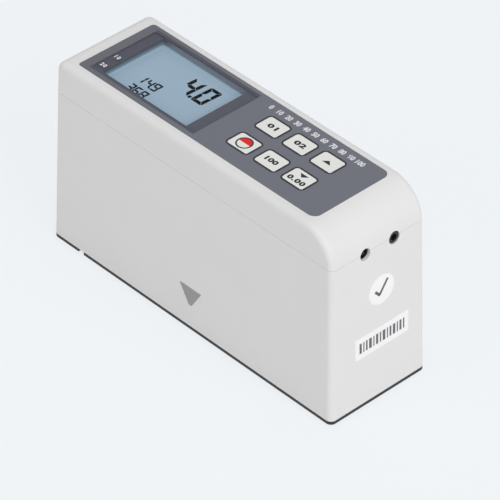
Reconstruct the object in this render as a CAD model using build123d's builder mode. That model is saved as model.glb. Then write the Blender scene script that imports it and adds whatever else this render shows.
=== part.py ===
from build123d import *
import os
from math import cos, radians, sin, tan

# Reflectance meter, in millimetres. The origin is at the middle of the underside, +Z is up,
# +X runs from the display to the sockets, and the long side with the arrow mark faces -Y.

# Body: a drafted block, measured at its underside
body_length = 140.0
body_width = 44.5
body_height = 76.5
end_draft = 2.1
side_draft = 0.9
nose_radius = 13.7
tail_radius = 3.8
edge_radius = 2.2
inner_radius = 0.8
wall = 2.2
top_wall = 2.8

# Joint between the lower housing and the top cover
seam_gap = 3.1
lip_depth = 2.0
lip_root = 2.2
lip_clearance = 0.15
seam_groove_height = 0.1
seam_groove_depth = 0.2

# Base plate
base_flange = 1.3
base_step = 2.0
step_clearance = 0.25
notch_width = 2.8
notch_depth = 2.0
notch_inset = 14.6
aperture_inset = 71.0
aperture_radius = 10.0

# Control panel and what shows through it
panel_tail_margin = 9.55
panel_nose_margin = 14.95
panel_side_margin = 4.9
panel_y = 0.25
panel_thickness = 0.5
panel_recess = 0.6
panel_clearance = 0.1
panel_nose_radius = 3.0
panel_tail_radius = 1.3
window_length = 51.8
window_inset = 3.65
window_margin = 2.5
window_radius = 0.8
view_length = 42.0
view_shift = 0.4
view_margin = 0.65
view_rise = 0.3
display_depth = 3.1

# Keys
key_names = ["key_power", "key_calibrate", "key_down", "key_black", "key_white", "key_up"]
key_columns = 3
key_rows = 2
key_length = 9.8
key_width = 7.8
key_radius = 1.3
key_gap = 0.5
key_pitch_x = 13.1
key_pitch_y = 12.95
keypad_shift = 1.575
keypad_y = 0.43
key_edge = 0.3
key_flange = 1.1
key_flange_thickness = 0.8
key_flange_gap = 0.15
key_stem_radius = 2.0
key_travel = 0.4

# Display stack and circuit board
glass_end_overlap = 2.5
glass_side_overlap = 2.0
glass_thickness = 2.2
frame_wall = 1.2
frame_fit = 0.2
board_drop = 8.4
board_thickness = 1.6
board_end_margin = 13.25
board_side_margin = 4.25
board_x = -0.25
board_tongue_margin = 7.5
board_tongue_gap = 1.0
strip_width = 2.0
strip_side_margin = 2.2
strip_end_margin = 3.0
switch_size = 6.0
switch_body_height = 2.0
switch_button_height = 1.0
switch_clearance = 0.05
switch_button_radius = 1.6
chip_size = 10.0
chip_height = 1.5
chip_shift = 10.9
small_chip_length = 5.0
small_chip_width = 3.3
small_chip_pitch = 10.0
small_chip_gap = 20.0

# Sockets in the rounded end, under the circuit board
socket_drop = 3.65
socket_setback = 1.2
socket_hole_clearance = 0.2
socket_body_width = 7.6
socket_body_under = 2.6
jack_radius = 2.2
jack_bore = 1.3
jack_depth = 14.5
jack_length = 14.0
jack_setback = 0.3
jack_boss_gap = 0.8
power_radius = 2.1
power_bore = 1.75
power_depth = 9.0
power_setback = 1.1
power_pin = 0.55
power_length = 12.0
power_boss_gap = 2.0

# Screws and the bosses that take them
post_end_margin = 8.7
post_side_margin = 7.05
post_radius = 3.6
post_drop = 5.5
post_shoulder = 6.0
rib_thickness = 1.6
rib_skin = 0.55
cover_boss_radius = 3.4
cover_boss_gap = 0.1
case_screw_radius = 1.4
case_screw_head = 2.6
case_screw_head_height = 2.0
case_screw_cover = 6.5
base_boss_end_margin = 20.0
base_boss_side_margin = 6.75
base_boss_radius = 2.9
base_screw_radius = 1.2
base_screw_head = 2.2
base_screw_length = 8.0
board_boss_window_gap = 5.0
board_boss_end_margin = 20.5
board_boss_side_margin = 2.6
board_boss_radius = 2.4
board_screw_radius = 0.95
board_screw_head = 1.9
board_screw_head_height = 1.3
board_screw_length = 5.6
thread_clearance = 0.06
hole_clearance = 0.3
slot_width = 0.6
slot_length = 2.4
slot_depth = 0.7

# Optical head: lamp straight above the aperture, one detector on each side at 45 degrees
head_flange_length = 46.0
head_flange_width = 26.0
head_flange_thickness = 3.0
head_foot_wall = 1.5
head_foot_height = 12.7
head_column_radius = 8.5
head_column_top = 40.0
head_beam_radius = 4.0
head_cone_top = 14.0
head_cone_rise = 2.0
lens_seat_height = 24.0
lens_seat_radius = 6.0
lens_edge = 1.4
lens_crown = 2.2
lens_clearance = 0.1
lamp_radius = 2.5
lamp_tip_radius = 2.25
lamp_length = 8.0
lamp_collar_radius = 2.9
lamp_collar_height = 1.4
lamp_board_thickness = 1.6
arm_angle = 45.0
arm_bay_gap = 0.5
arm_wall = 2.5
arm_start = 14.0
arm_end = 38.0
detector_seat_wall = 1.3
detector_seat_depth = 6.5
filter_thickness = 2.0
detector_thickness = 3.4
detector_clearance = 0.1
detector_board_thickness = 1.6
head_screw_end_margin = 4.0
head_screw_side_margin = 3.4
head_screw_radius = 1.2
head_screw_head = 2.1
head_screw_head_height = 1.6
head_screw_length = 4.6

# Battery bay: four cells stand side by side behind a cover in the +Y wall
cell_radius = 5.25
cell_length = 44.5
cell_edge = 0.45
cell_nub_radius = 1.9
cell_nub_height = 0.9
cell_gap = 0.4
cell_count = 4
cell_clearance = 0.15
cell_side_margin = 8.95
bay_lift = 0.7
bay_end_gap = 0.3
bay_side_gap = 0.2
bay_wall = 1.4
contact_thickness = 0.4
contact_width = 8.0
contact_margin = 1.0
contact_slack = 0.2
spring_length = 3.5
spring_radius = 2.6
spring_wire = 0.35
spring_turns = 3
cover_end_margin = 1.0
cover_lift = 1.0
cover_thickness = 1.2
cover_gap = 0.2
cover_corner = 2.0
cover_ledge = 1.5
cover_rib_depth = 2.0
tongue_width = 4.0
tongue_clearance = 0.55
tongue_thickness = 1.0
tongue_drop = 2.0
tongue_rise = 3.5
latch_width = 12.0
latch_slot = 0.8
latch_height = 8.0
grip_length = 9.0
grip_width = 0.8
grip_depth = 0.4
grip_pitch = 1.8
grip_count = 3

# Labels and the arrow that marks the aperture from the side
label_thickness = 0.15
round_label_radius = 5.8
round_label_y = 1.3
round_label_z = 44.9
label_length = 24.6
label_width = 8.6
label_y = 1.5
label_z = 25.3
arrow_width = 10.5
arrow_height = 7.4
arrow_tip = 1.4
arrow_z = 14.2

# Base, optical head and battery bay: what follows from the values above, from the floor up
base_top = base_flange + base_step
post_foot = base_top + hole_clearance
notch_x = notch_inset - body_length / 2
aperture_x = aperture_inset - body_length / 2
head_flange_top = base_top + head_flange_thickness
head_screw_x = head_flange_length / 2 - head_screw_end_margin
head_screw_y = head_flange_width / 2 - head_screw_side_margin
head_foot_radius = aperture_radius + head_foot_wall
cell_pitch = 2 * cell_radius + cell_gap
cell_y = body_width / 2 - cell_side_margin
bay_length = cell_pitch * cell_count + 2 * bay_side_gap
bay_inner_y = cell_y - cell_radius - cell_clearance
bay_bottom = head_flange_top + head_screw_head_height + bay_lift + bay_wall
bay_height = cell_length + spring_length + 2 * contact_thickness + contact_slack
bay_top = bay_bottom + bay_height
arm_radius = bay_inner_y - bay_wall - arm_bay_gap
arm_bore = arm_radius - arm_wall
detector_seat_radius = arm_radius - detector_seat_wall

# Seam, posts and bosses
seam_height = bay_top + bay_wall + seam_gap
rebate_inset = wall / 2
rebate_foot = seam_height - lip_depth - lip_clearance
post_x = body_length / 2 - post_end_margin
post_y = body_width / 2 - post_side_margin
post_top = seam_height - post_drop
post_seat = post_top - post_shoulder
case_screw_length = body_height - case_screw_cover - post_seat
base_boss_x = body_length / 2 - base_boss_end_margin
base_boss_y = body_width / 2 - base_boss_side_margin
bay_x = bay_length / 2 + bay_wall + bay_end_gap + cover_boss_radius - post_x

# Battery cover
cover_length = bay_length + 2 * cover_end_margin
cover_height = bay_height
cover_bottom = bay_bottom + cover_lift
cover_middle = cover_bottom + cover_height / 2
door_length = cover_length - 2 * cover_ledge
door_height = cover_height - 2 * cover_ledge
door_corner = cover_corner - cover_ledge / 2

# Panel, window and keys, from the top down
panel_length = body_length - panel_tail_margin - panel_nose_margin
panel_width = body_width - 2 * panel_side_margin
panel_x = (panel_tail_margin - panel_nose_margin) / 2
panel_start = panel_tail_margin - body_length / 2
panel_end = panel_start + panel_length
panel_floor = body_height - panel_recess
plate_under = body_height - top_wall
display_top = body_height - display_depth
window_x = panel_start + window_inset + window_length / 2
window_width = panel_width - 2 * window_margin
window_end = window_x + window_length / 2
view_x = window_x - view_shift
view_y = panel_y + view_rise
view_width = window_width - 2 * view_margin
glass_length = view_length + 2 * glass_end_overlap
glass_width = view_width + 2 * glass_side_overlap
keypad_x = (window_end + panel_end) / 2 - keypad_shift

# Circuit board, switches and sockets
board_top = body_height - board_drop
board_under = board_top - board_thickness
board_length = body_length - 2 * board_end_margin
board_width = body_width - 2 * board_side_margin
board_tongue_reach = body_length / 2 - board_tongue_margin
board_tongue_width = 2 * (post_y - cover_boss_radius - board_tongue_gap)
board_boss_inner_x = window_end + board_boss_window_gap
board_boss_outer_x = body_length / 2 - board_boss_end_margin
board_boss_middle = (board_boss_inner_x + board_boss_outer_x) / 2
board_boss_span = board_boss_outer_x - board_boss_inner_x
board_boss_y = board_width / 2 - board_boss_side_margin
flange_top = plate_under - key_flange_gap
flange_under = flange_top - key_flange_thickness
switch_top = board_top + switch_body_height + switch_button_height
stem_under = switch_top + key_travel + switch_clearance
chip_x = window_x + chip_shift
socket_height = board_under - socket_drop
socket_room = post_y - cover_boss_radius - socket_body_width / 2
jack_y = socket_room - jack_boss_gap
power_y = power_boss_gap - socket_room


def end_reach(height, inset=0.0):
    """Half the body's length at a height, drawn inset from the skin."""
    return body_length / 2 - inset - height * tan(radians(end_draft))


def side_reach(height, inset=0.0):
    """Half the body's width at a height, drawn inset from the skin."""
    return body_width / 2 - inset - height * tan(radians(side_draft))


def body_form(inset, height):
    """The drafted block with its rounded edges, inset from the skin and cut off at a height."""
    with BuildPart() as form:
        with BuildSketch(Plane.XZ) as side_view:
            with BuildLine():
                Polyline(
                    (-end_reach(0, inset), 0),
                    (end_reach(0, inset), 0),
                    (end_reach(height, inset), height),
                    (-end_reach(height, inset), height),
                    close=True,
                )
            make_face()
            nose = side_view.vertices().group_by(Axis.Y)[-1].sort_by(Axis.X)[-1]
            fillet(nose, radius=max(nose_radius - inset, inner_radius))
            tail = side_view.vertices().sort_by(Axis.X).group_by(Axis.Y)[-1].sort_by(Axis.X)[0]
            fillet(tail, radius=max(tail_radius - inset, inner_radius))
        extrude(amount=body_width, both=True)
        with BuildSketch(Plane.YZ):
            with BuildLine():
                Polyline(
                    (-side_reach(0, inset), 0),
                    (side_reach(0, inset), 0),
                    (side_reach(height, inset), height),
                    (-side_reach(height, inset), height),
                    close=True,
                )
            make_face()
        extrude(amount=body_length, both=True, mode=Mode.INTERSECT)
        long_sides = form.faces().filter_by(lambda face: abs(face.normal_at().Y) > 0.9)
        rounded = long_sides.edges().filter_by(lambda edge: edge.center().Z > inner_radius)
        fillet(rounded, radius=max(edge_radius - inset, inner_radius))
    return form.part


def form_slice(form, low, high):
    """The part of a form between two heights."""
    with BuildPart() as piece:
        add(form)
        split(bisect_by=Plane.XY.offset(low), keep=Keep.TOP)
        split(bisect_by=Plane.XY.offset(high), keep=Keep.BOTTOM)
    return piece.part


def wall_ring(outer, inner, low, high):
    """The ring between an outer and an inner form, between two heights."""
    with BuildPart() as ring:
        add(form_slice(outer, low, high))
        add(inner, mode=Mode.SUBTRACT)
    return ring.part


def panel_outline(clearance):
    """The control panel's outline, with larger corners towards the sockets."""
    with BuildSketch() as outline:
        with Locations((panel_x, panel_y)):
            Rectangle(panel_length + 2 * clearance, panel_width + 2 * clearance)
        nose_corners = outline.vertices().group_by(Axis.X)[-1]
        fillet(nose_corners, radius=panel_nose_radius + clearance)
        tail_corners = outline.vertices().group_by(Axis.X)[0]
        fillet(tail_corners, radius=panel_tail_radius + clearance)
    return outline.sketch


def key_openings(clearance):
    """The six key openings, each wider than its key by a clearance all round."""
    with BuildSketch() as openings:
        with Locations((keypad_x, keypad_y)):
            with GridLocations(key_pitch_x, key_pitch_y, key_columns, key_rows):
                RectangleRounded(
                    key_length + 2 * clearance, key_width + 2 * clearance, key_radius + clearance
                )
    return openings.sketch


def wall_slab(length, height, corner, depth):
    """A slab of the +Y wall behind the battery cover, from outside the skin to a depth under it."""
    with BuildPart() as slab:
        with BuildSketch(Plane.XZ):
            with Locations((bay_x, cover_middle)):
                RectangleRounded(length, height, corner)
        extrude(amount=-body_width)
        add(body_form(depth, body_height), mode=Mode.SUBTRACT)
    return slab.part


def socket_holes():
    """The two holes in the rounded end, seen from +X."""
    with BuildSketch() as holes:
        with Locations((jack_y, socket_height)):
            Circle(jack_radius + socket_hole_clearance)
        with Locations((power_y, socket_height)):
            Circle(power_radius + socket_hole_clearance)
    return holes.sketch


def arm_plane(side, distance):
    """A plane across one detector arm, at a distance from the measured spot."""
    across = side * cos(radians(arm_angle))
    rise = sin(radians(arm_angle))
    spot = (aperture_x + across * distance, 0, rise * distance)
    return Plane(origin=spot, x_dir=(0, 1, 0), z_dir=(across, 0, rise))


def save(piece, name):
    """Labels a finished piece and writes its file."""
    piece.part.label = name
    export_step(piece.part, f"parts/{name}.step")


os.makedirs("parts", exist_ok=True)
socket_front = end_reach(socket_height, wall + socket_setback)
jack_mouth = end_reach(socket_height, jack_setback)
power_mouth = end_reach(socket_height, power_setback)

# Forms that the shells share: the outside, the hollow, and the faces of the joint between them
skin = body_form(0, body_height)
cavity = body_form(wall, plate_under)
rebate_form = body_form(rebate_inset, body_height)
lip_form = body_form(rebate_inset + lip_clearance, body_height)
groove_form = body_form(seam_groove_depth, body_height)
step_form = body_form(wall + step_clearance, body_height)


# Base plate: a full-size flange, and a step that centres it inside the housing walls
base_rim = form_slice(skin, 0, base_flange)
base_centring = form_slice(step_form, 0, base_top)

with BuildPart() as base_plate:
    add(base_rim)
    add(base_centring)
    with BuildSketch():
        with Locations((aperture_x, 0)):
            Circle(aperture_radius)
    extrude(amount=base_top, mode=Mode.SUBTRACT)
    with BuildSketch():
        with Locations((notch_x, -body_width / 2)):
            Rectangle(notch_width, 2 * notch_depth)
    extrude(amount=base_flange, mode=Mode.SUBTRACT)
    with BuildSketch():
        with GridLocations(2 * base_boss_x, 2 * base_boss_y, 2, 2):
            Circle(base_screw_radius + hole_clearance)
    extrude(amount=base_top, mode=Mode.SUBTRACT)
    with BuildSketch():
        with GridLocations(2 * base_boss_x, 2 * base_boss_y, 2, 2):
            Circle(base_screw_head + hole_clearance)
    extrude(amount=base_screw_head + hole_clearance, taper=45, mode=Mode.SUBTRACT)
    with BuildSketch(Plane.XY.offset(base_top)):
        with Locations((aperture_x, 0)):
            with GridLocations(2 * head_screw_x, 2 * head_screw_y, 2, 2):
                Circle(head_screw_radius + thread_clearance)
    extrude(amount=-(head_screw_length - head_flange_thickness + hole_clearance), mode=Mode.SUBTRACT)
save(base_plate, "base_plate")


# Screws, each kind modelled once and copied to its places
def cross_slot():
    """The driver recess of a screw head, as a cross."""
    with BuildSketch() as cross:
        Rectangle(slot_width, slot_length)
        Rectangle(slot_length, slot_width)
    return cross.sketch


with BuildPart() as countersunk_screw:
    with BuildSketch(Plane.XZ):
        with BuildLine():
            Polyline(
                (0, thread_clearance),
                (base_screw_head, thread_clearance),
                (base_screw_radius, base_screw_head - base_screw_radius + thread_clearance),
                (base_screw_radius, base_screw_length - base_screw_radius / 2),
                (base_screw_radius / 2, base_screw_length),
                (0, base_screw_length),
                close=True,
            )
        make_face()
    revolve(axis=Axis.Z)
    with BuildSketch(Plane.XY.offset(thread_clearance)):
        add(cross_slot())
    extrude(amount=slot_depth, mode=Mode.SUBTRACT)

with BuildPart() as base_screws:
    with GridLocations(2 * base_boss_x, 2 * base_boss_y, 2, 2):
        add(countersunk_screw.part)
save(base_screws, "base_screws")


def pan_screw(head, head_height, shank, length):
    """A screw standing on its point's far side: head below Z = 0, shank up to its length."""
    with BuildPart() as screw:
        with BuildSketch(Plane.XY):
            Circle(head)
        extrude(amount=-head_height)
        chamfer(screw.edges().group_by(Axis.Z)[0], length=head_height / 3)
        with BuildSketch(Plane.XY):
            Circle(shank)
        extrude(amount=length)
        chamfer(screw.edges().group_by(Axis.Z)[-1], length=shank / 2)
        with BuildSketch(Plane.XY.offset(-head_height)):
            add(cross_slot())
        extrude(amount=slot_depth, mode=Mode.SUBTRACT)
    return screw.part


case_screw = pan_screw(case_screw_head, case_screw_head_height, case_screw_radius, case_screw_length)
with BuildPart() as housing_screws:
    with Locations((0, 0, post_seat)):
        with GridLocations(2 * post_x, 2 * post_y, 2, 2):
            add(case_screw)
save(housing_screws, "housing_screws")

board_screw = pan_screw(board_screw_head, board_screw_head_height, board_screw_radius, board_screw_length)
with BuildPart() as board_screws:
    with Locations((board_boss_middle, 0, board_under)):
        with GridLocations(board_boss_span, 2 * board_boss_y, 2, 2):
            add(board_screw)
save(board_screws, "board_screws")

head_screw = pan_screw(head_screw_head, head_screw_head_height, head_screw_radius, head_screw_length)
with BuildPart() as head_screws:
    with Locations(Location((aperture_x, 0, head_flange_top), (180, 0, 0))):
        with GridLocations(2 * head_screw_x, 2 * head_screw_y, 2, 2):
            add(head_screw)
save(head_screws, "head_screws")


# Lower housing: four drafted walls, the corner posts, the base bosses and the battery bay
housing_walls = form_slice(skin, base_flange, seam_height)
lip_rebate = form_slice(rebate_form, rebate_foot, seam_height)
groove_wall = wall_ring(groove_form, rebate_form, seam_height - seam_groove_height, seam_height)
cover_seat = wall_slab(cover_length, cover_height, cover_corner, cover_thickness)

with BuildPart() as bay_space:
    with BuildSketch(Plane.XY.offset(bay_bottom)):
        with Locations((bay_x, bay_inner_y)):
            Rectangle(bay_length, body_width, align=(Align.CENTER, Align.MIN))
    extrude(amount=bay_height)
    add(cavity, mode=Mode.INTERSECT)

with BuildPart() as lower_housing:
    add(housing_walls)
    add(cavity, mode=Mode.SUBTRACT)
    rib_reach = side_reach(seam_height, rib_skin)
    with BuildSketch(Plane.XY.offset(post_foot)):
        with GridLocations(2 * post_x, 2 * post_y, 2, 2):
            Circle(post_radius)
        for side in (-1, 1):
            with Locations((-post_x, side * post_y), (post_x, side * post_y)):
                Rectangle(rib_thickness, 2 * (rib_reach - post_y))
    extrude(amount=post_top - post_foot)
    with BuildSketch(Plane.XY.offset(post_foot)):
        with GridLocations(2 * base_boss_x, 2 * base_boss_y, 2, 2):
            Circle(base_boss_radius)
            Rectangle(rib_thickness, 2 * (rib_reach - base_boss_y))
    extrude(amount=bay_bottom - bay_wall - post_foot)
    with BuildSketch(Plane.XY.offset(bay_bottom - bay_wall)):
        with Locations((bay_x, bay_inner_y - bay_wall)):
            Rectangle(
                bay_length + 2 * bay_wall,
                rib_reach - bay_inner_y + bay_wall,
                align=(Align.CENTER, Align.MIN),
            )
    extrude(amount=bay_height + 2 * bay_wall)
    add(bay_space.part, mode=Mode.SUBTRACT)
    add(cover_seat, mode=Mode.SUBTRACT)
    with BuildSketch(Plane.XZ.offset(-cell_y)):
        with Locations((bay_x, cover_middle)):
            RectangleRounded(door_length, door_height, door_corner)
    extrude(amount=-body_width, mode=Mode.SUBTRACT)
    with BuildSketch(Plane.XY.offset(post_foot)):
        with GridLocations(2 * post_x, 2 * post_y, 2, 2):
            Circle(case_screw_head + hole_clearance)
    extrude(amount=post_seat - post_foot, mode=Mode.SUBTRACT)
    with BuildSketch(Plane.XY.offset(post_seat)):
        with GridLocations(2 * post_x, 2 * post_y, 2, 2):
            Circle(case_screw_radius + hole_clearance)
    extrude(amount=post_top - post_seat, mode=Mode.SUBTRACT)
    with BuildSketch(Plane.XY.offset(post_foot)):
        with GridLocations(2 * base_boss_x, 2 * base_boss_y, 2, 2):
            Circle(base_screw_radius + thread_clearance)
    extrude(amount=base_screw_length - post_foot + hole_clearance, mode=Mode.SUBTRACT)
    add(lip_rebate, mode=Mode.SUBTRACT)
    with BuildSketch(Plane.XY.offset(seam_height - seam_groove_height)):
        Rectangle(2 * body_length, 2 * body_width)
    extrude(amount=seam_groove_height, mode=Mode.SUBTRACT)
    add(groove_wall)
    with BuildSketch(Plane.YZ.offset(socket_front)):
        add(socket_holes())
    extrude(amount=body_width, mode=Mode.SUBTRACT)
save(lower_housing, "lower_housing")


# Top cover: the upper shell with its lip, the panel recess, openings and hanging bosses
cover_shell = form_slice(skin, seam_height, body_height)
cover_lip = wall_ring(lip_form, cavity, seam_height - lip_depth, seam_height + lip_root)
boss_limit = body_form(wall / 2, body_height - top_wall / 2)

with BuildPart() as cover_bosses:
    with BuildSketch(Plane.XY.offset(post_top + cover_boss_gap)):
        with GridLocations(2 * post_x, 2 * post_y, 2, 2):
            Circle(cover_boss_radius)
    extrude(amount=body_height - post_top)
    with BuildSketch(Plane.XY.offset(board_top)):
        with Locations((board_boss_middle, 0)):
            with GridLocations(board_boss_span, 2 * board_boss_y, 2, 2):
                Circle(board_boss_radius)
    extrude(amount=body_height - board_top)
    add(boss_limit, mode=Mode.INTERSECT)

with BuildPart() as top_cover:
    add(cover_shell)
    add(cavity, mode=Mode.SUBTRACT)
    add(cover_lip)
    add(cover_bosses.part)
    with BuildSketch(Plane.XY.offset(panel_floor)):
        add(panel_outline(panel_clearance))
    extrude(amount=body_height, mode=Mode.SUBTRACT)
    with BuildSketch(Plane.XY.offset(plate_under - top_wall)):
        with Locations((window_x, panel_y)):
            Rectangle(
                window_length + 2 * frame_wall + 2 * frame_fit,
                window_width + 2 * frame_wall + 2 * frame_fit,
            )
        add(key_openings(key_gap))
    extrude(amount=2 * top_wall, mode=Mode.SUBTRACT)
    with BuildSketch(Plane.XY.offset(post_top)):
        with GridLocations(2 * post_x, 2 * post_y, 2, 2):
            Circle(case_screw_radius + thread_clearance)
    extrude(amount=post_seat + case_screw_length + hole_clearance - post_top, mode=Mode.SUBTRACT)
    with BuildSketch(Plane.XY.offset(board_top)):
        with Locations((board_boss_middle, 0)):
            with GridLocations(board_boss_span, 2 * board_boss_y, 2, 2):
                Circle(board_screw_radius + thread_clearance)
    extrude(amount=board_screw_length + hole_clearance - board_thickness, mode=Mode.SUBTRACT)
    with BuildSketch(Plane.YZ.offset(socket_front)):
        add(socket_holes())
    extrude(amount=body_width, mode=Mode.SUBTRACT)
save(top_cover, "top_cover")


# Control panel: a printed sheet in the recess, cut out for the window and the keys
with BuildPart() as control_panel:
    with BuildSketch(Plane.XY.offset(panel_floor)):
        add(panel_outline(0))
        with Locations((window_x, panel_y)):
            RectangleRounded(window_length, window_width, window_radius, mode=Mode.SUBTRACT)
        add(key_openings(key_gap), mode=Mode.SUBTRACT)
    extrude(amount=panel_thickness)
save(control_panel, "control_panel")

with BuildPart() as display_window:
    with BuildSketch(Plane.XY.offset(panel_floor)):
        with Locations((window_x, panel_y)):
            RectangleRounded(window_length, window_width, window_radius)
    extrude(amount=panel_thickness)
save(display_window, "display_window")


# Display frame: a dark well under the window, with a skirt that holds the glass over the board
with BuildPart() as display_frame:
    with BuildSketch(Plane.XY.offset(display_top)):
        with Locations((window_x, panel_y)):
            Rectangle(window_length + 2 * frame_wall, window_width + 2 * frame_wall)
    extrude(amount=panel_floor - display_top)
    with BuildSketch(Plane.XY.offset(board_top)):
        with Locations((view_x, view_y)):
            Rectangle(
                glass_length + 2 * frame_wall + 2 * frame_fit,
                glass_width + 2 * frame_wall + 2 * frame_fit,
            )
    extrude(amount=plate_under - frame_fit - board_top)
    with BuildSketch(Plane.XY.offset(board_top)):
        with Locations((view_x, view_y)):
            Rectangle(glass_length + 2 * frame_fit, glass_width + 2 * frame_fit)
    extrude(amount=display_top - board_top, mode=Mode.SUBTRACT)
    with BuildSketch(Plane.XY.offset(display_top)):
        with Locations((view_x, view_y)):
            RectangleRounded(view_length, view_width, window_radius)
    extrude(amount=top_wall, mode=Mode.SUBTRACT)
save(display_frame, "display_frame")

with BuildPart() as display_glass:
    with BuildSketch(Plane.XY.offset(display_top)):
        with Locations((view_x, view_y)):
            Rectangle(glass_length, glass_width)
    extrude(amount=-glass_thickness)
save(display_glass, "display_glass")

with BuildPart() as contact_strips:
    with BuildSketch(Plane.XY.offset(board_top)):
        with Locations((view_x, view_y)):
            with GridLocations(glass_length, glass_width - 2 * strip_side_margin, 1, 2):
                Rectangle(glass_length - 2 * strip_end_margin, strip_width)
    extrude(amount=display_top - glass_thickness - board_top)
save(contact_strips, "contact_strips")


# Keys: a flat cap in the panel opening, a flange under the cover and a stem over its switch
def make_key(x, y):
    """A key with its top flush with the rim and its stem over a switch."""
    with BuildPart() as key:
        with BuildSketch(Plane.XY.offset(flange_under)):
            with Locations((x, y)):
                RectangleRounded(key_length, key_width, key_radius)
        extrude(amount=body_height - flange_under)
        fillet(key.edges().group_by(Axis.Z)[-1], radius=key_edge)
        with BuildSketch(Plane.XY.offset(flange_under)):
            with Locations((x, y)):
                RectangleRounded(
                    key_length + 2 * key_flange, key_width + 2 * key_flange, key_radius + key_flange
                )
        extrude(amount=key_flange_thickness)
        with BuildSketch(Plane.XY.offset(stem_under)):
            with Locations((x, y)):
                Circle(key_stem_radius)
        extrude(amount=flange_under - stem_under)
    return key


for index, key_name in enumerate(key_names):
    column = index % key_columns - (key_columns - 1) / 2
    row = index // key_columns - (key_rows - 1) / 2
    save(make_key(keypad_x + column * key_pitch_x, keypad_y + row * key_pitch_y), key_name)

with BuildPart() as key_switches:
    with BuildSketch(Plane.XY.offset(board_top)):
        with Locations((keypad_x, keypad_y)):
            with GridLocations(key_pitch_x, key_pitch_y, key_columns, key_rows):
                Rectangle(switch_size, switch_size)
    extrude(amount=switch_body_height)
    with BuildSketch(Plane.XY.offset(board_top + switch_body_height)):
        with Locations((keypad_x, keypad_y)):
            with GridLocations(key_pitch_x, key_pitch_y, key_columns, key_rows):
                Circle(switch_button_radius)
    extrude(amount=switch_button_height)
save(key_switches, "key_switches")


# Circuit board, screwed to the cover's bosses, with a tongue that carries the two sockets
with BuildPart() as circuit_board:
    with BuildSketch(Plane.XY.offset(board_under)):
        with Locations((board_x, 0)):
            Rectangle(board_length, board_width)
        Rectangle(board_tongue_reach, board_tongue_width, align=(Align.MIN, Align.CENTER))
        with Locations((board_boss_middle, 0)):
            with GridLocations(board_boss_span, 2 * board_boss_y, 2, 2):
                Circle(board_screw_radius + hole_clearance, mode=Mode.SUBTRACT)
    extrude(amount=board_thickness)
save(circuit_board, "circuit_board")

with BuildPart() as board_chips:
    with BuildSketch(Plane.XY.offset(board_under)):
        with Locations((chip_x, 0)):
            Rectangle(chip_size, chip_size)
        with Locations((chip_x + small_chip_gap, 0)):
            with GridLocations(small_chip_length, small_chip_pitch, 1, 2):
                Rectangle(small_chip_length, small_chip_width)
    extrude(amount=-chip_height)
save(board_chips, "board_chips")


# Sockets under the board: each has a collar in its hole, and the power socket's is set deeper
with BuildPart() as output_jack:
    with BuildSketch(Plane.XY.offset(board_under)):
        with Locations((socket_front, jack_y)):
            Rectangle(jack_length, socket_body_width, align=(Align.MAX, Align.CENTER))
    extrude(amount=-socket_drop - socket_body_under)
    with BuildSketch(Plane.YZ.offset(socket_front)):
        with Locations((jack_y, socket_height)):
            Circle(jack_radius)
    extrude(amount=jack_mouth - socket_front)
    with BuildSketch(Plane.YZ.offset(jack_mouth)):
        with Locations((jack_y, socket_height)):
            Circle(jack_bore)
    extrude(amount=-jack_depth, mode=Mode.SUBTRACT)
save(output_jack, "output_jack")

with BuildPart() as power_socket:
    with BuildSketch(Plane.XY.offset(board_under)):
        with Locations((socket_front, power_y)):
            Rectangle(power_length, socket_body_width, align=(Align.MAX, Align.CENTER))
    extrude(amount=-socket_drop - socket_body_under)
    with BuildSketch(Plane.YZ.offset(socket_front)):
        with Locations((power_y, socket_height)):
            Circle(power_radius)
    extrude(amount=power_mouth - socket_front)
    with BuildSketch(Plane.YZ.offset(power_mouth)):
        with Locations((power_y, socket_height)):
            Circle(power_bore)
            Circle(power_pin, mode=Mode.SUBTRACT)
    extrude(amount=-power_depth, mode=Mode.SUBTRACT)
save(power_socket, "power_socket")


# Optical head: a flanged foot over the aperture, the lamp column and two slanted detector arms
with BuildPart() as optical_head:
    with BuildSketch(Plane.XY.offset(base_top)):
        with Locations((aperture_x, 0)):
            RectangleRounded(head_flange_length, head_flange_width, edge_radius)
    extrude(amount=head_flange_thickness)
    with BuildSketch(Plane.XY.offset(base_top)):
        with Locations((aperture_x, 0)):
            Circle(head_foot_radius)
    extrude(amount=head_foot_height)
    with BuildSketch(Plane.XY.offset(base_top)):
        with Locations((aperture_x, 0)):
            Circle(head_column_radius)
    extrude(amount=head_column_top - base_top)
    for side in (-1, 1):
        with BuildSketch(arm_plane(side, arm_start)):
            Circle(arm_radius)
        extrude(amount=arm_end - arm_start)
    with BuildSketch(Plane(origin=(aperture_x, 0, 0), x_dir=(1, 0, 0), z_dir=(0, -1, 0))):
        with BuildLine():
            Polyline(
                (0, base_top),
                (aperture_radius, base_top),
                (aperture_radius, base_top + head_cone_rise),
                (head_beam_radius, head_cone_top),
                (head_beam_radius, lens_seat_height),
                (lens_seat_radius, lens_seat_height),
                (lens_seat_radius, head_column_top),
                (0, head_column_top),
                close=True,
            )
        make_face()
    revolve(axis=Axis((aperture_x, 0, 0), (0, 0, 1)), mode=Mode.SUBTRACT)
    for side in (-1, 1):
        with BuildSketch(arm_plane(side, arm_start)):
            Circle(arm_bore)
        extrude(amount=arm_end - arm_start, mode=Mode.SUBTRACT)
        with BuildSketch(arm_plane(side, arm_end - detector_seat_depth)):
            Circle(detector_seat_radius)
        extrude(amount=detector_seat_depth, mode=Mode.SUBTRACT)
    with BuildSketch(Plane.XY.offset(base_top)):
        with Locations((aperture_x, 0)):
            with GridLocations(2 * head_screw_x, 2 * head_screw_y, 2, 2):
                Circle(head_screw_radius + hole_clearance)
    extrude(amount=head_flange_thickness, mode=Mode.SUBTRACT)
save(optical_head, "optical_head")


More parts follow.
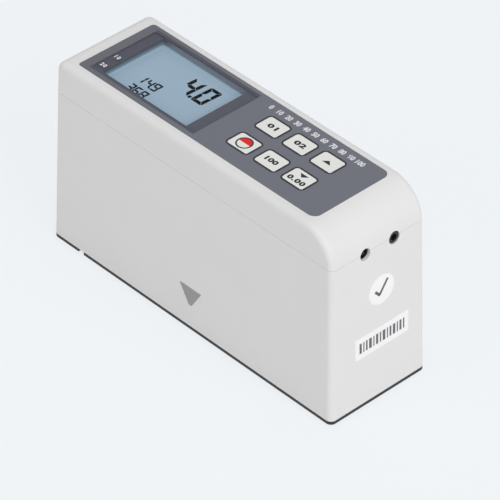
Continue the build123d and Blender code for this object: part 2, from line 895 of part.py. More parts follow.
# Lens, lamp and lamp board in the column
with BuildPart() as condenser_lens:
    lens_reach = lens_seat_radius - lens_clearance
    lens_curve = (lens_reach**2 + lens_crown**2) / (2 * lens_crown)
    lens_top = lens_seat_height + lens_edge + lens_crown
    with BuildSketch(Plane.XY.offset(lens_seat_height)):
        with Locations((aperture_x, 0)):
            Circle(lens_reach)
    extrude(amount=lens_edge + lens_crown)
    with Locations((aperture_x, 0, lens_top - lens_curve)):
        Sphere(lens_curve, mode=Mode.INTERSECT)
save(condenser_lens, "condenser_lens")

with BuildPart() as lamp:
    with BuildSketch(Plane.XY.offset(head_column_top)):
        with Locations((aperture_x, 0)):
            Circle(lamp_radius)
    extrude(amount=-lamp_length)
    fillet(lamp.edges().group_by(Axis.Z)[0], radius=lamp_tip_radius)
    with BuildSketch(Plane.XY.offset(head_column_top)):
        with Locations((aperture_x, 0)):
            Circle(lamp_collar_radius)
    extrude(amount=-lamp_collar_height)
save(lamp, "lamp")

with BuildPart() as lamp_board:
    with BuildSketch(Plane.XY.offset(head_column_top)):
        with Locations((aperture_x, 0)):
            Circle(head_column_radius)
    extrude(amount=lamp_board_thickness)
save(lamp_board, "lamp_board")


# Filters, detectors and their boards, one of each in each arm
def arm_discs(near, radius, thickness):
    """A disc in each detector arm, from a distance along the arm outwards."""
    with BuildPart() as discs:
        for side in (-1, 1):
            with BuildSketch(arm_plane(side, near)):
                Circle(radius)
            extrude(amount=thickness)
    return discs


seat_start = arm_end - detector_seat_depth
detector_reach = detector_seat_radius - detector_clearance
save(arm_discs(seat_start, detector_reach, filter_thickness), "colour_filters")
save(arm_discs(arm_end - detector_thickness, detector_reach, detector_thickness), "light_detectors")
save(arm_discs(arm_end, arm_radius, detector_board_thickness), "detector_boards")


# Battery cells: they stand side by side, each turned end for end from the next
cell_xs = [bay_x + (index - (cell_count - 1) / 2) * cell_pitch for index in range(cell_count)]
low_contact = bay_bottom + contact_thickness
high_contact = bay_top - contact_thickness

with BuildPart() as one_cell:
    with BuildSketch():
        Circle(cell_radius)
    extrude(amount=cell_length - cell_nub_height)
    chamfer(one_cell.edges(), length=cell_edge)
    with BuildSketch(Plane.XY.offset(cell_length - cell_nub_height)):
        Circle(cell_nub_radius)
    extrude(amount=cell_nub_height)

for index, cell_x in enumerate(cell_xs):
    if index % 2:
        cell_foot = Location((cell_x, cell_y, low_contact + contact_slack + cell_length), (180, 0, 0))
    else:
        cell_foot = Location((cell_x, cell_y, high_contact - contact_slack - cell_length))
    with BuildPart() as battery_cell:
        with Locations(cell_foot):
            add(one_cell.part)
    save(battery_cell, f"battery_cell_{index + 1}")

with BuildPart() as contact_plates:
    with BuildSketch(Plane.XY.offset(high_contact)):
        for index in range(0, cell_count, 2):
            with Locations(((cell_xs[index] + cell_xs[index + 1]) / 2, cell_y)):
                Rectangle(2 * cell_pitch - contact_margin, contact_width)
    extrude(amount=contact_thickness)
    with BuildSketch(Plane.XY.offset(bay_bottom)):
        with Locations((bay_x, cell_y)):
            Rectangle(2 * cell_pitch - contact_margin, contact_width)
        for cell_x in (cell_xs[0], cell_xs[-1]):
            with Locations((cell_x, cell_y)):
                Rectangle(cell_pitch - contact_margin, contact_width)
    extrude(amount=contact_thickness)
save(contact_plates, "contact_plates")

with BuildPart() as one_spring:
    spring_rise = (spring_length - 2 * spring_wire) / spring_turns
    with BuildLine():
        coil = Helix(spring_rise, spring_rise * spring_turns, spring_radius)
    with BuildSketch(Plane(origin=coil @ 0, z_dir=coil % 0)):
        RegularPolygon(spring_wire, 4)
    sweep(path=coil, is_frenet=True)

with BuildPart() as contact_springs:
    for index, cell_x in enumerate(cell_xs):
        spring_foot = high_contact - spring_length if index % 2 else low_contact
        with Locations((cell_x, cell_y, spring_foot + spring_wire)):
            add(one_spring.part)
save(contact_springs, "contact_springs")


# Battery cover: flush with the wall, hung on two tongues and held by a latch between two slots
cover_plate = wall_slab(
    cover_length - 2 * cover_gap, cover_height - 2 * cover_gap, cover_corner - cover_gap, cover_thickness
)
cover_rib = wall_slab(
    door_length - 2 * cover_gap, door_height - 2 * cover_gap, door_corner - cover_gap, cover_rib_depth
)

with BuildPart() as battery_cover:
    add(cover_plate)
    add(cover_rib)
    add(skin, mode=Mode.INTERSECT)
    door_foot = cover_bottom + cover_ledge
    tongue_face = side_reach(door_foot, wall + tongue_clearance)
    tongue_back = tongue_face - tongue_thickness
    for side in (-1, 1):
        with BuildSketch(Plane.YZ.offset(bay_x + side * cell_pitch - tongue_width / 2)):
            with BuildLine():
                Polyline(
                    (side_reach(door_foot, cover_thickness), door_foot + cover_gap + tongue_clearance),
                    (side_reach(door_foot, cover_thickness), door_foot + tongue_rise),
                    (tongue_back, door_foot + tongue_rise),
                    (tongue_back, door_foot - tongue_drop),
                    (tongue_face, door_foot - tongue_drop),
                    (tongue_face, door_foot + cover_gap + tongue_clearance),
                    close=True,
                )
            make_face()
        extrude(amount=tongue_width)
    with BuildSketch(Plane.XZ.offset(-cell_y)):
        with Locations((bay_x, cover_bottom + cover_height)):
            with GridLocations(latch_width, latch_height, 2, 1):
                Rectangle(latch_slot, 2 * latch_height)
    extrude(amount=-body_width, mode=Mode.SUBTRACT)
    grip_height = cover_bottom + cover_height - latch_height / 2
    grip_face = Plane(
        origin=(bay_x, side_reach(grip_height), grip_height),
        x_dir=(-1, 0, 0),
        z_dir=(0, 1, tan(radians(side_draft))),
    )
    with BuildSketch(grip_face):
        with GridLocations(grip_length, grip_pitch, 1, grip_count):
            SlotOverall(grip_length, grip_width)
    extrude(amount=-grip_depth, mode=Mode.SUBTRACT)
save(battery_cover, "battery_cover")


# Blank labels on the rounded end, and the arrow that points down at the aperture
def end_face(y, height):
    """The plane of the socket end at a point, facing out."""
    return Plane(
        origin=(end_reach(height), y, height), x_dir=(0, 1, 0), z_dir=(1, 0, tan(radians(end_draft)))
    )


with BuildPart() as round_label:
    with BuildSketch(end_face(round_label_y, round_label_z)):
        Circle(round_label_radius)
    extrude(amount=label_thickness)
save(round_label, "round_label")

with BuildPart() as end_label:
    with BuildSketch(end_face(label_y, label_z)):
        Rectangle(label_length, label_width)
    extrude(amount=label_thickness)
save(end_label, "end_label")

with BuildPart() as side_arrow:
    side_face = Plane(
        origin=(aperture_x, -side_reach(arrow_z), arrow_z),
        x_dir=(1, 0, 0),
        z_dir=(0, -1, tan(radians(side_draft))),
    )
    with BuildSketch(side_face):
        with BuildLine():
            Polyline(
                (-arrow_width / 2, arrow_height / 2),
                (arrow_width / 2, arrow_height / 2),
                (arrow_tip / 2, -arrow_height / 2),
                (-arrow_tip / 2, -arrow_height / 2),
                close=True,
            )
        make_face()
    extrude(amount=label_thickness)
save(side_arrow, "side_arrow")
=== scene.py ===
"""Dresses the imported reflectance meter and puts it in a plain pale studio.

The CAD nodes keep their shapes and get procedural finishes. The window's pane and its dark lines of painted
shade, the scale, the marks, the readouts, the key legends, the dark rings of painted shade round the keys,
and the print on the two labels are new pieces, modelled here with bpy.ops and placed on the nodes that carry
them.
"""

import logging
import math
from collections.abc import Iterator
from contextlib import contextmanager
from dataclasses import dataclass, field, replace
from enum import Enum
from functools import cached_property
from typing import ClassVar

import bpy
from mathutils import Matrix, Vector


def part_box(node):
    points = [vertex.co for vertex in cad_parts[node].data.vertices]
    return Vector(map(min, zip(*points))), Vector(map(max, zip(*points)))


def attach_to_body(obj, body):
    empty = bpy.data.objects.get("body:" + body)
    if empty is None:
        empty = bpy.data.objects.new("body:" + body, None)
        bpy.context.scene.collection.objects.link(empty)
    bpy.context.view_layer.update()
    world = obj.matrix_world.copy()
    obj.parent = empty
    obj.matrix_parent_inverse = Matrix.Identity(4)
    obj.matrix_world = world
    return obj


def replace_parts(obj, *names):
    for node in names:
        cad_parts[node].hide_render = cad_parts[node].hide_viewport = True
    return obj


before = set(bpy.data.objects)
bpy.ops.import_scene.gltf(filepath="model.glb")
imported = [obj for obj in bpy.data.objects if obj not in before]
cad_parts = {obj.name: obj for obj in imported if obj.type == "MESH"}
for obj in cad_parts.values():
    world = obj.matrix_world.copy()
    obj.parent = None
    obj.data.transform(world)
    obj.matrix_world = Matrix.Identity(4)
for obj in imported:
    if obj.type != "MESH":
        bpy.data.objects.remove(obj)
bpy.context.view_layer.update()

LOG = logging.getLogger("meter")
MM = 0.001
METER = "meter"
MERGE_GAP = 0.001 * MM
CORNER_SEGMENTS = 6
NOISE_MIDDLE = 0.5

# Where a Mix node for colours has its factor, its two colours and its result.
MIX_INPUTS = (0, 6, 7)
MIX_RESULT = 2

Colour = tuple[float, float, float, float]
Place = tuple[float, float]
Span = tuple[float, float]
Point = tuple[float, float, float]
Cut = tuple[Point, Point]
Material = bpy.types.Material
Node = bpy.types.Node
Object = bpy.types.Object
Socket = bpy.types.NodeSocket
Sockets = bpy.types.bpy_prop_collection
Value = Socket | float | Colour


class Slot(Enum):
    """The record's material slots."""

    WINDOW = "window_clear"
    FRAME = "frame_dark"
    DISPLAY = "display_blue"
    LABEL = "label_white"
    MARK = "mark_grey"
    SWITCH = "switch_black"


class KeyMark(Enum):
    """What is printed on a key."""

    POWER = "power"
    NUMBER = "number"
    UP = "up"
    DOWN = "down"


def srgb(red: int, green: int, blue: int) -> Colour:
    """Turns a colour from 0 to 255 into Blender's linear one.

    Args:
        red: The red part, from 0 to 255.
        green: The green part, from 0 to 255.
        blue: The blue part, from 0 to 255.

    Returns:
        The three linear parts and full alpha.
    """
    parts = (part / 255 for part in (red, green, blue))
    linear = (p / 12.92 if p <= 0.04045 else ((p + 0.055) / 1.055) ** 2.4 for p in parts)
    return (*linear, 1.0)


class NodeBuilder:
    """Adds nodes to one shader tree and feeds their sockets."""

    def __init__(self, tree: bpy.types.NodeTree) -> None:
        """Takes the tree to build in."""
        self.tree = tree

    def feed(self, place: Socket, value: Value) -> None:
        """Feeds an input socket.

        Args:
            place: The input socket.
            value: What it is set to, or the socket that is linked to it.
        """
        if isinstance(value, bpy.types.NodeSocket):
            self.tree.links.new(value, place)
        else:
            place.default_value = value

    def node(self, kind: str, inputs: dict[str | int, Value] | None = None, **settings: object) -> Node:
        """Adds a node.

        Args:
            kind: The node's type, without the word ShaderNode.
            inputs: What feeds its inputs, by name or number.
            settings: The node's own properties.

        Returns:
            The new node.
        """
        node = self.tree.nodes.new(f"ShaderNode{kind}")
        for label, setting in settings.items():
            setattr(node, label, setting)
        for label, value in (inputs or {}).items():
            self.feed(node.inputs[label], value)
        return node

    def math(self, operation: str, *values: Value) -> Socket:
        """Returns the result of a math operation on one to three values."""
        return self.node("Math", dict(enumerate(values)), operation=operation).outputs[0]

    def rise(self, value: Socket, start: float, end: float) -> Socket:
        """Returns a smooth rise from 0, where a value is at its start, to 1, where it is at its end."""
        inputs = {"Value": value, "From Min": start, "From Max": end}
        return self.node("MapRange", inputs, interpolation_type="SMOOTHSTEP").outputs["Result"]

    def between(self, share: Socket, low: float, high: float) -> Socket:
        """Returns the value that lies a share of the way from a low one to a high one."""
        return self.node("MapRange", {"Value": share, "To Min": low, "To Max": high}).outputs["Result"]

    def seen_rays(self) -> Socket:
        """Returns the socket that is 1 for camera, glossy and transmission rays."""
        rays = self.node("LightPath").outputs
        direct = self.math("MAXIMUM", rays["Is Camera Ray"], rays["Is Glossy Ray"])
        return self.math("MAXIMUM", direct, rays["Is Transmission Ray"])

    def split(self, share: Socket, first: Node, second: Node, output: str) -> None:
        """Lets two shaders share the tree's surface.

        Args:
            share: The share of the second shader.
            first: The node of the first shader.
            second: The node of the second shader.
            output: The name of the tree's output node.
        """
        mix = self.node("MixShader", {0: share, 1: first.outputs[0], 2: second.outputs[0]})
        self.feed(self.tree.nodes[output].inputs["Surface"], mix.outputs["Shader"])


class EffectGroup(NodeBuilder):
    """A shader node group that is built once and placed in many materials."""

    def __init__(self, name: str, inputs: dict[str, str], outputs: dict[str, str]) -> None:
        """Makes an empty group with its sockets.

        Args:
            name: The group's name.
            inputs: The kind of each input socket, by name.
            outputs: The kind of each output socket, by name.
        """
        super().__init__(bpy.data.node_groups.new(name, "ShaderNodeTree"))
        for side, sockets in (("INPUT", inputs), ("OUTPUT", outputs)):
            for label, kind in sockets.items():
                self.tree.interface.new_socket(name=label, in_out=side, socket_type=f"NodeSocket{kind}")
        self.entry = self.tree.nodes.new("NodeGroupInput")
        self.exit = self.tree.nodes.new("NodeGroupOutput")

    def give(self, **results: Socket) -> None:
        """Feeds the group's outputs, each by its name."""
        for label, result in results.items():
            self.feed(self.exit.inputs[label], result)

    def swung(self, noise: Socket, reach: Socket, middle: Value) -> Socket:
        """Returns a middle value that a noise moves up and down, by half a reach each way."""
        swing = self.math("MULTIPLY", self.math("SUBTRACT", noise, NOISE_MIDDLE), reach)
        return self.math("ADD", swing, middle)


def grain_group(drift_scale: float = 38.0) -> EffectGroup:
    """Builds the group for a moulded or cast grain, with a faint tone that drifts over it.

    Args:
        drift_scale: How many swells of tone there are in a metre.

    Returns:
        The group.
    """
    inputs = {"Vector": "Vector", "Colour": "Color"}
    inputs |= dict.fromkeys(("Scale", "Drift", "Roughness", "Spread"), "Float")
    group = EffectGroup("surface_grain", inputs, {"Colour": "Color", "Roughness": "Float", "Height": "Float"})
    given = group.entry.outputs
    place = given["Vector"]
    fine = group.node("TexNoise", {"Vector": place, "Scale": given["Scale"], "Detail": 3.0, "Roughness": 0.6})
    broad = group.node("TexNoise", {"Vector": place, "Scale": drift_scale, "Detail": 2.0})
    shade = group.swung(broad.outputs["Fac"], given["Drift"], 1.0)
    tone = group.node("VectorMath", {"Vector": given["Colour"], "Scale": shade}, operation="SCALE")
    group.give(
        Colour=tone.outputs["Vector"],
        Roughness=group.swung(fine.outputs["Fac"], given["Spread"], given["Roughness"]),
        Height=fine.outputs["Fac"],
    )
    return group


def band_group() -> EffectGroup:
    """Returns the group whose mask is 1 between two positions, with soft edges."""
    inputs = dict.fromkeys(("Position", "From", "To", "Softness"), "Float")
    group = EffectGroup("soft_band", inputs, {"Mask": "Float"})
    given = group.entry.outputs
    inside = group.math(
        "MINIMUM",
        group.math("SUBTRACT", given["Position"], given["From"]),
        group.math("SUBTRACT", given["To"], given["Position"]),
    )
    group.give(Mask=group.rise(group.math("DIVIDE", inside, given["Softness"]), -0.5, 0.5))
    return group


def thread_group() -> EffectGroup:
    """Returns the group for a screw thread, as a height that rises and falls along one line."""
    group = EffectGroup("screw_thread", {"Position": "Float", "Pitch": "Float"}, {"Height": "Float"})
    turns = group.math("DIVIDE", group.entry.outputs["Position"], group.entry.outputs["Pitch"])
    wave = group.math("SINE", group.math("MULTIPLY", turns, math.tau))
    group.give(Height=group.math("MULTIPLY_ADD", wave, 0.5, 0.5))
    return group


def rolled_group(stretch: float = 0.06) -> EffectGroup:
    """Builds the group for fine drawn lines along X, as on rolled metal.

    Args:
        stretch: The scale along X, as a share of the scale across the lines.

    Returns:
        The group.
    """
    group = EffectGroup("rolled_lines", {"Vector": "Vector", "Scale": "Float"}, {"Lines": "Float"})
    given = group.entry.outputs
    drawn = group.node("VectorMath", {0: given["Vector"], 1: (stretch, 1.0, 1.0)}, operation="MULTIPLY")
    lines = {"Vector": drawn.outputs["Vector"], "Scale": given["Scale"], "Detail": 4.0}
    group.give(Lines=group.node("TexNoise", lines).outputs["Fac"])
    return group


@dataclass(frozen=True)
class Effects:
    """The effects that several finishes share, each built once."""

    grain: EffectGroup = field(default_factory=grain_group)
    band: EffectGroup = field(default_factory=band_group)
    thread: EffectGroup = field(default_factory=thread_group)
    rolled: EffectGroup = field(default_factory=rolled_group)


EFFECTS = Effects()


class Shading(NodeBuilder):
    """A material under construction, with its Principled shader."""

    def __init__(self, name: str) -> None:
        """Makes the material.

        Args:
            name: The material's name.
        """
        self.material = bpy.data.materials.new(name)
        self.material.use_nodes = True
        super().__init__(self.material.node_tree)
        self.shader = self.tree.nodes["Principled BSDF"]

    @cached_property
    def coordinates(self) -> Socket:
        """The socket with the object's own coordinates."""
        return self.node("TexCoord").outputs["Object"]

    def give(self, **values: Value) -> None:
        """Feeds the shader's sockets, each named with underscores for spaces."""
        for label, value in values.items():
            self.feed(self.shader.inputs[label.replace("_", " ")], value)

    def effect(self, group: EffectGroup, **values: Value) -> Sockets:
        """Places an effect group, feeds its inputs and returns its outputs."""
        return self.node("Group", values, node_tree=group.tree).outputs

    def axis(self, letter: str) -> Socket:
        """Returns the coordinate along one axis, X, Y or Z."""
        return self.node("SeparateXYZ", {"Vector": self.coordinates}).outputs[letter]

    def band(self, position: Socket, start: float, end: float, softness: float) -> Socket:
        """Returns the mask that is 1 from a start to an end, with soft edges."""
        return self.effect(EFFECTS.band, Position=position, From=start, To=end, Softness=softness)["Mask"]

    def blend(self, mask: Socket, below: Value, above: Value) -> Socket:
        """Returns the mix of two colours: the first where a mask is 0, the second where it is 1."""
        inputs = dict(zip(MIX_INPUTS, (mask, below, above)))
        return self.node("Mix", inputs, data_type="RGBA").outputs[MIX_RESULT]

    def bump(self, height: Socket, depth: float) -> None:
        """Lets a height, as deep as given in metres, feed the shader's normal."""
        bump = self.node("Bump", {"Strength": 1.0, "Distance": depth, "Height": height})
        self.give(Normal=bump.outputs["Normal"])


@dataclass(frozen=True)
class Grain:
    """How a surface is grained.

    The scale counts grains in a metre. The tone drifts over the piece by the drift, and the roughness
    varies from grain to grain by the spread. The depth is in metres.
    """

    roughness: float
    scale: float = 2600.0
    drift: float = 0.03
    spread: float = 0.12
    depth: float = 0.006 * MM


@dataclass(frozen=True)
class Finish:
    """A finish of one main colour, which becomes a material under its own name."""

    name: str
    colour: Colour

    def material(self) -> Material:
        """Returns the finish's material."""
        raise NotImplementedError


@dataclass(frozen=True, kw_only=True)
class GrainedFinish(Finish):
    """A finish with an even grain, on which most of the others build."""

    grain: Grain
    gloss: float = 0.5

    def material(self) -> Material:
        """Returns the finish's material."""
        shading = Shading(self.name)
        surface = shading.effect(
            EFFECTS.grain,
            Vector=shading.coordinates,
            Colour=self.tone(shading),
            Scale=self.grain.scale,
            Drift=self.grain.drift,
            Roughness=self.grain.roughness,
            Spread=self.grain.spread,
        )
        shading.give(Base_Color=surface["Colour"], Roughness=surface["Roughness"])
        shading.bump(self.relief(shading, surface["Height"]), self.grain.depth)
        shading.give(Specular_IOR_Level=self.gloss, **self.extras(shading, surface["Height"]))
        return shading.material

    def tone(self, shading: Shading) -> Value:
        """Returns the colour, or the socket that gives it where it changes over the surface."""
        return self.colour

    def relief(self, shading: Shading, grain: Socket) -> Socket:
        """Returns the height that the bump follows."""
        return grain

    def extras(self, shading: Shading, grain: Socket) -> dict[str, Value]:
        """Returns what feeds the shader's other sockets, by name."""
        return {}


@dataclass(frozen=True, kw_only=True)
class MouldedPlastic(GrainedFinish):
    """A moulded plastic with an even fine grain."""

    grain: Grain = Grain(0.5)
    gloss: float = 0.4


@dataclass(frozen=True, kw_only=True)
class PaintedBorePlastic(MouldedPlastic):
    """A moulded plastic with painted light on the wall of one hole along X, paler than the shell."""

    # The colour of the painted light on the hole's wall.
    painted_bore_light: Colour
    mouth: Vector
    radius: float
    length: float = 3.0 * MM
    rim: float = 0.03 * MM
    softness: float = 0.02 * MM

    def tone(self, shading: Shading) -> Socket:
        """Returns the plastic's colour, with painted light on the hole's wall.

        Args:
            shading: The material under construction.

        Returns:
            The socket with the colour.
        """
        section = shading.node("VectorMath", {0: shading.coordinates, 1: (0, 1, 1)}, operation="MULTIPLY")
        axis = (0, self.mouth.y, self.mouth.z)
        reach = shading.node("VectorMath", {0: section.outputs[0], 1: axis}, operation="DISTANCE")
        near = shading.band(reach.outputs["Value"], -self.radius, self.radius + self.rim, self.softness)
        along = shading.band(shading.axis("X"), self.mouth.x, self.mouth.x + self.length, self.softness)
        return shading.blend(shading.math("MULTIPLY", near, along), self.colour, self.painted_bore_light)


@dataclass(frozen=True, kw_only=True)
class KeyCap(MouldedPlastic):
    """A moulded key with painted shade along the edge of its face: a dark line for the shadow of the gap
    round it.
    """

    # The colour of the painted shade along the face's edge.
    line: Colour
    middle: Vector
    half_length: float
    half_width: float
    grain: Grain = Grain(0.42, scale=3600.0, drift=0.05, depth=0.003 * MM)
    softness: float = 0.04 * MM

    def tone(self, shading: Shading) -> Socket:
        """Returns the key's colour inside the painted shade, and the dark colour of the shade along its edge.

        Args:
            shading: The material under construction.

        Returns:
            The socket with the colour.
        """
        x, y, _ = self.middle
        along = shading.band(shading.axis("X"), x - self.half_length, x + self.half_length, self.softness)
        across = shading.band(shading.axis("Y"), y - self.half_width, y + self.half_width, self.softness)
        return shading.blend(shading.math("MINIMUM", along, across), self.line, self.colour)


@dataclass(frozen=True, kw_only=True)
class PrintedFilm(GrainedFinish):
    """A printed polyester film, whose tone changes along X from the main colour to a far one."""

    far: Colour
    start: float
    end: float
    grain: Grain = Grain(0.42, scale=3800.0, drift=0.04, spread=0.1, depth=0.002 * MM)
    gloss: float = 0.35

    def tone(self, shading: Shading) -> Socket:
        """Returns the film's colour along X."""
        return shading.blend(shading.rise(shading.axis("X"), self.start, self.end), self.colour, self.far)


@dataclass(frozen=True, kw_only=True)
class ClearSheet(GrainedFinish):
    """A thin clear sheet, flat enough to need no refraction, with an alpha that drifts a little."""

    cover: float
    haze: float = 0.4
    index: float = 1.45
    grain: Grain = Grain(0.08, scale=240.0, drift=0.02, spread=0.05, depth=0.0004 * MM)

    def extras(self, shading: Shading, grain: Socket) -> dict[str, Value]:
        """Returns the sheet's alpha and its index of refraction."""
        veil = shading.between(grain, self.cover * (1 - self.haze), self.cover * (1 + self.haze))
        return {"Alpha": veil, "IOR": self.index}


@dataclass(frozen=True, kw_only=True)
class LiquidCrystal(GrainedFinish):
    """The pale reflector of a liquid crystal display, with painted light close to the well's walls, where it
    is lighter.
    """

    # The colour of the painted light close to the walls.
    edge: Colour
    low: Place
    high: Place
    reach: float = 2.4 * MM
    grain: Grain = Grain(0.34, scale=5200.0, spread=0.1, depth=0.001 * MM)
    gloss: float = 0.3

    def tone(self, shading: Shading) -> Socket:
        """Returns the display's colour, with painted light along its edges.

        Args:
            shading: The material under construction.

        Returns:
            The socket with the colour.
        """
        inset = self.reach / 2
        along = shading.band(shading.axis("X"), self.low[0] + inset, self.high[0] - inset, self.reach)
        across = shading.band(shading.axis("Y"), self.low[1] - self.reach, self.high[1] - inset, self.reach)
        return shading.blend(shading.math("MULTIPLY", across, along), self.edge, self.colour)


@dataclass(frozen=True)
class WellPart:
    """The two colours of one part of the display's well, painted light and shade: at the -X end, and over the
    rest.
    """

    near: Colour
    far: Colour


@dataclass(frozen=True, kw_only=True)
class DisplayWell(GrainedFinish):
    """The dark well round the display: a flat rim, and walls with painted light and shade, darker at the top
    and tinted at the foot with a painted reflection of the display's colour.

    Its main colour is the rim's at the -X end. The walls change from foot to top, between two heights.
    """

    rim_far: Colour
    # Painted light and shade: the walls' colours at the top, and at the foot with a painted reflection of the
    # display.
    painted_wall_top: WellPart
    painted_wall_foot: WellPart
    bottom: float
    top: float
    turn: float
    softness: float = 3.0 * MM
    steep: float = 0.5
    flat: float = 0.8
    grain: Grain = Grain(0.6, drift=0.05, depth=0.004 * MM)
    gloss: float = 0.25

    def tone(self, shading: Shading) -> Socket:
        """Returns the well's colour, with the painted light and shade on its walls.

        Args:
            shading: The material under construction.

        Returns:
            The socket with the colour.
        """
        end = shading.rise(shading.axis("X"), self.turn - self.softness, self.turn + self.softness)
        painted_wall_foot, painted_wall_top = (shading.blend(end, part.near, part.far) for part in (self.painted_wall_foot, self.painted_wall_top))
        walls = shading.blend(shading.rise(shading.axis("Z"), self.bottom, self.top), painted_wall_foot, painted_wall_top)
        normal = shading.node("SeparateXYZ", {"Vector": shading.node("TexCoord").outputs["Normal"]})
        upward = shading.rise(normal.outputs["Z"], self.steep, self.flat)
        return shading.blend(upward, walls, shading.blend(end, self.colour, self.rim_far))


@dataclass(frozen=True)
class RolledMetal(Finish):
    """Rolled or plated metal with fine drawn lines, duller and smoother at the bottom of each line."""

    roughness: float
    smoother: float = 0.08
    rougher: float = 0.12
    dulling: float = 0.8
    lines: float = 900.0
    depth: float = 0.004 * MM

    def material(self) -> Material:
        """Returns the metal's material."""
        shading = Shading(self.name)
        lines = shading.effect(EFFECTS.rolled, Vector=shading.coordinates, Scale=self.lines)["Lines"]
        dull = (*(self.dulling * part for part in self.colour[:3]), 1.0)
        shading.give(
            Base_Color=shading.blend(lines, dull, self.colour),
            Roughness=shading.between(lines, self.roughness - self.smoother, self.roughness + self.rougher),
            Metallic=1.0,
        )
        shading.bump(lines, self.depth)
        return shading.material


@dataclass(frozen=True, kw_only=True)
class ThreadedSteel(GrainedFinish):
    """A zinc-plated screw, threaded along Z between two heights."""

    pitch: float
    start: float
    end: float
    run_out: float = 0.2 * MM
    grain: Grain = Grain(0.34, scale=1800.0, drift=0.2, spread=0.2, depth=0.12 * MM)

    def relief(self, shading: Shading, grain: Socket) -> Socket:
        """Returns the thread's height on the shank.

        Args:
            shading: The material under construction.
            grain: The height of the plating's grain, which the thread takes the place of.

        Returns:
            The socket with the height.
        """
        height = shading.axis("Z")
        thread = shading.effect(EFFECTS.thread, Position=height, Pitch=self.pitch)["Height"]
        return shading.math("MULTIPLY", thread, shading.band(height, self.start, self.end, self.run_out))

    def extras(self, shading: Shading, grain: Socket) -> dict[str, Value]:
        """Returns the share of metal."""
        return {"Metallic": 1.0}


@dataclass(frozen=True, kw_only=True)
class SolderMask(GrainedFinish):
    """A circuit board's mask with the tracks that show under it, spaced and sized in pitches."""

    track: Colour
    pitch: float = 2.54 * MM
    track_length: float = 3.0
    track_width: float = 0.12
    track_blur: float = 0.3
    coat: float = 0.3
    coat_roughness: float = 0.2
    grain: Grain = Grain(0.35, scale=2200.0, drift=0.12, spread=0.1, depth=0.004 * MM)

    def tone(self, shading: Shading) -> Socket:
        """Returns the mask's colour, with its tracks.

        Args:
            shading: The material under construction.

        Returns:
            The socket with the colour.
        """
        inputs = {
            "Vector": shading.coordinates,
            "Scale": 1.0,
            "Brick Width": self.track_length * self.pitch,
            "Row Height": self.pitch,
            "Mortar Size": self.track_width * self.pitch,
            "Mortar Smooth": self.track_blur,
        }
        return shading.blend(shading.node("TexBrick", inputs).outputs["Fac"], self.colour, self.track)

    def extras(self, shading: Shading, grain: Socket) -> dict[str, Value]:
        """Returns the mask's clear coat."""
        return {"Coat_Weight": self.coat, "Coat_Roughness": self.coat_roughness}


@dataclass(frozen=True, kw_only=True)
class OpticGlass(GrainedFinish):
    """Clear or coloured optical glass."""

    index: float = 1.5
    grain: Grain = Grain(0.03, scale=900.0, drift=0.02, spread=0.02, depth=0.0002 * MM)

    def extras(self, shading: Shading, grain: Socket) -> dict[str, Value]:
        """Returns what makes it glass."""
        return {"Transmission_Weight": 1.0, "IOR": self.index, "Metallic": 0.0}


@dataclass(frozen=True, kw_only=True)
class CellSleeve(GrainedFinish):
    """A battery cell's printed sleeve: two bands of colour along Z, and bare metal at its ends."""

    upper: Colour
    metal: Colour
    low: float
    high: float
    split: float
    edge: float = 0.05 * MM
    coat: float = 0.6
    coat_roughness: float = 0.12
    grain: Grain = Grain(0.34, scale=700.0, spread=0.05, depth=0.0003 * MM)

    def sleeve(self, shading: Shading) -> Socket:
        """Returns the mask that is 1 on the sleeve."""
        return shading.band(shading.axis("Z"), self.low, self.high, self.edge)

    def tone(self, shading: Shading) -> Socket:
        """Returns the colours of the two bands and the ends.

        Args:
            shading: The material under construction.

        Returns:
            The socket with the colour.
        """
        rise = shading.rise(shading.axis("Z"), self.split - self.edge / 2, self.split + self.edge / 2)
        return shading.blend(self.sleeve(shading), self.metal, shading.blend(rise, self.colour, self.upper))

    def extras(self, shading: Shading, grain: Socket) -> dict[str, Value]:
        """Returns the share of bare metal and the sleeve's clear coat."""
        bare = shading.math("SUBTRACT", 1.0, self.sleeve(shading))
        return {"Metallic": bare, "Coat_Weight": self.coat, "Coat_Roughness": self.coat_roughness}


@dataclass(frozen=True, kw_only=True)
class LabelStock(GrainedFinish):
    """White paper label with a satin face and soft fibres."""

    grain: Grain = Grain(0.5, scale=1500.0, drift=0.02, spread=0.15, depth=0.004 * MM)
    gloss: float = 0.3


@dataclass(frozen=True, kw_only=True)
class Ink(GrainedFinish):
    """Screen-printed ink, a little uneven where it wets the surface."""

    grain: Grain = Grain(0.55, scale=3000.0, drift=0.08, spread=0.1, depth=0.001 * MM)
    gloss: float = 0.25


@dataclass(frozen=True, kw_only=True)
class DarkSegment(Ink):
    """A segment of the liquid crystal that is on, with next to no gloss."""

    grain: Grain = replace(Ink.grain, roughness=0.5)
    gloss: float = 0.05


def deselect() -> None:
    """Leaves nothing selected."""
    if bpy.context.object is not None and bpy.context.object.mode != "OBJECT":
        bpy.ops.object.mode_set(mode="OBJECT")
    bpy.ops.object.select_all(action="DESELECT")


def pick(obj: Object) -> None:
    """Makes one object the only selected one, and the active one.

    Args:
        obj: The object.
    """
    deselect()
    obj.select_set(True)
    bpy.context.view_layer.objects.active = obj


@contextmanager
def editing(obj: Object) -> Iterator[None]:
    """Opens an object in edit mode with its whole mesh selected, and closes it afterwards.

    Args:
        obj: The object.

    Yields:
        Nothing, once the mesh can be edited.
    """
    pick(obj)
    bpy.ops.object.mode_set(mode="EDIT")
    bpy.ops.mesh.select_all(action="SELECT")
    yield
    bpy.ops.object.mode_set(mode="OBJECT")


def applied(obj: Object) -> Object:
    """Puts an object's place, turn and scale into its mesh.

    Args:
        obj: The object.

    Returns:
        The same object, at the origin.
    """
    pick(obj)
    bpy.ops.object.transform_apply(location=True, rotation=True, scale=True)
    return obj


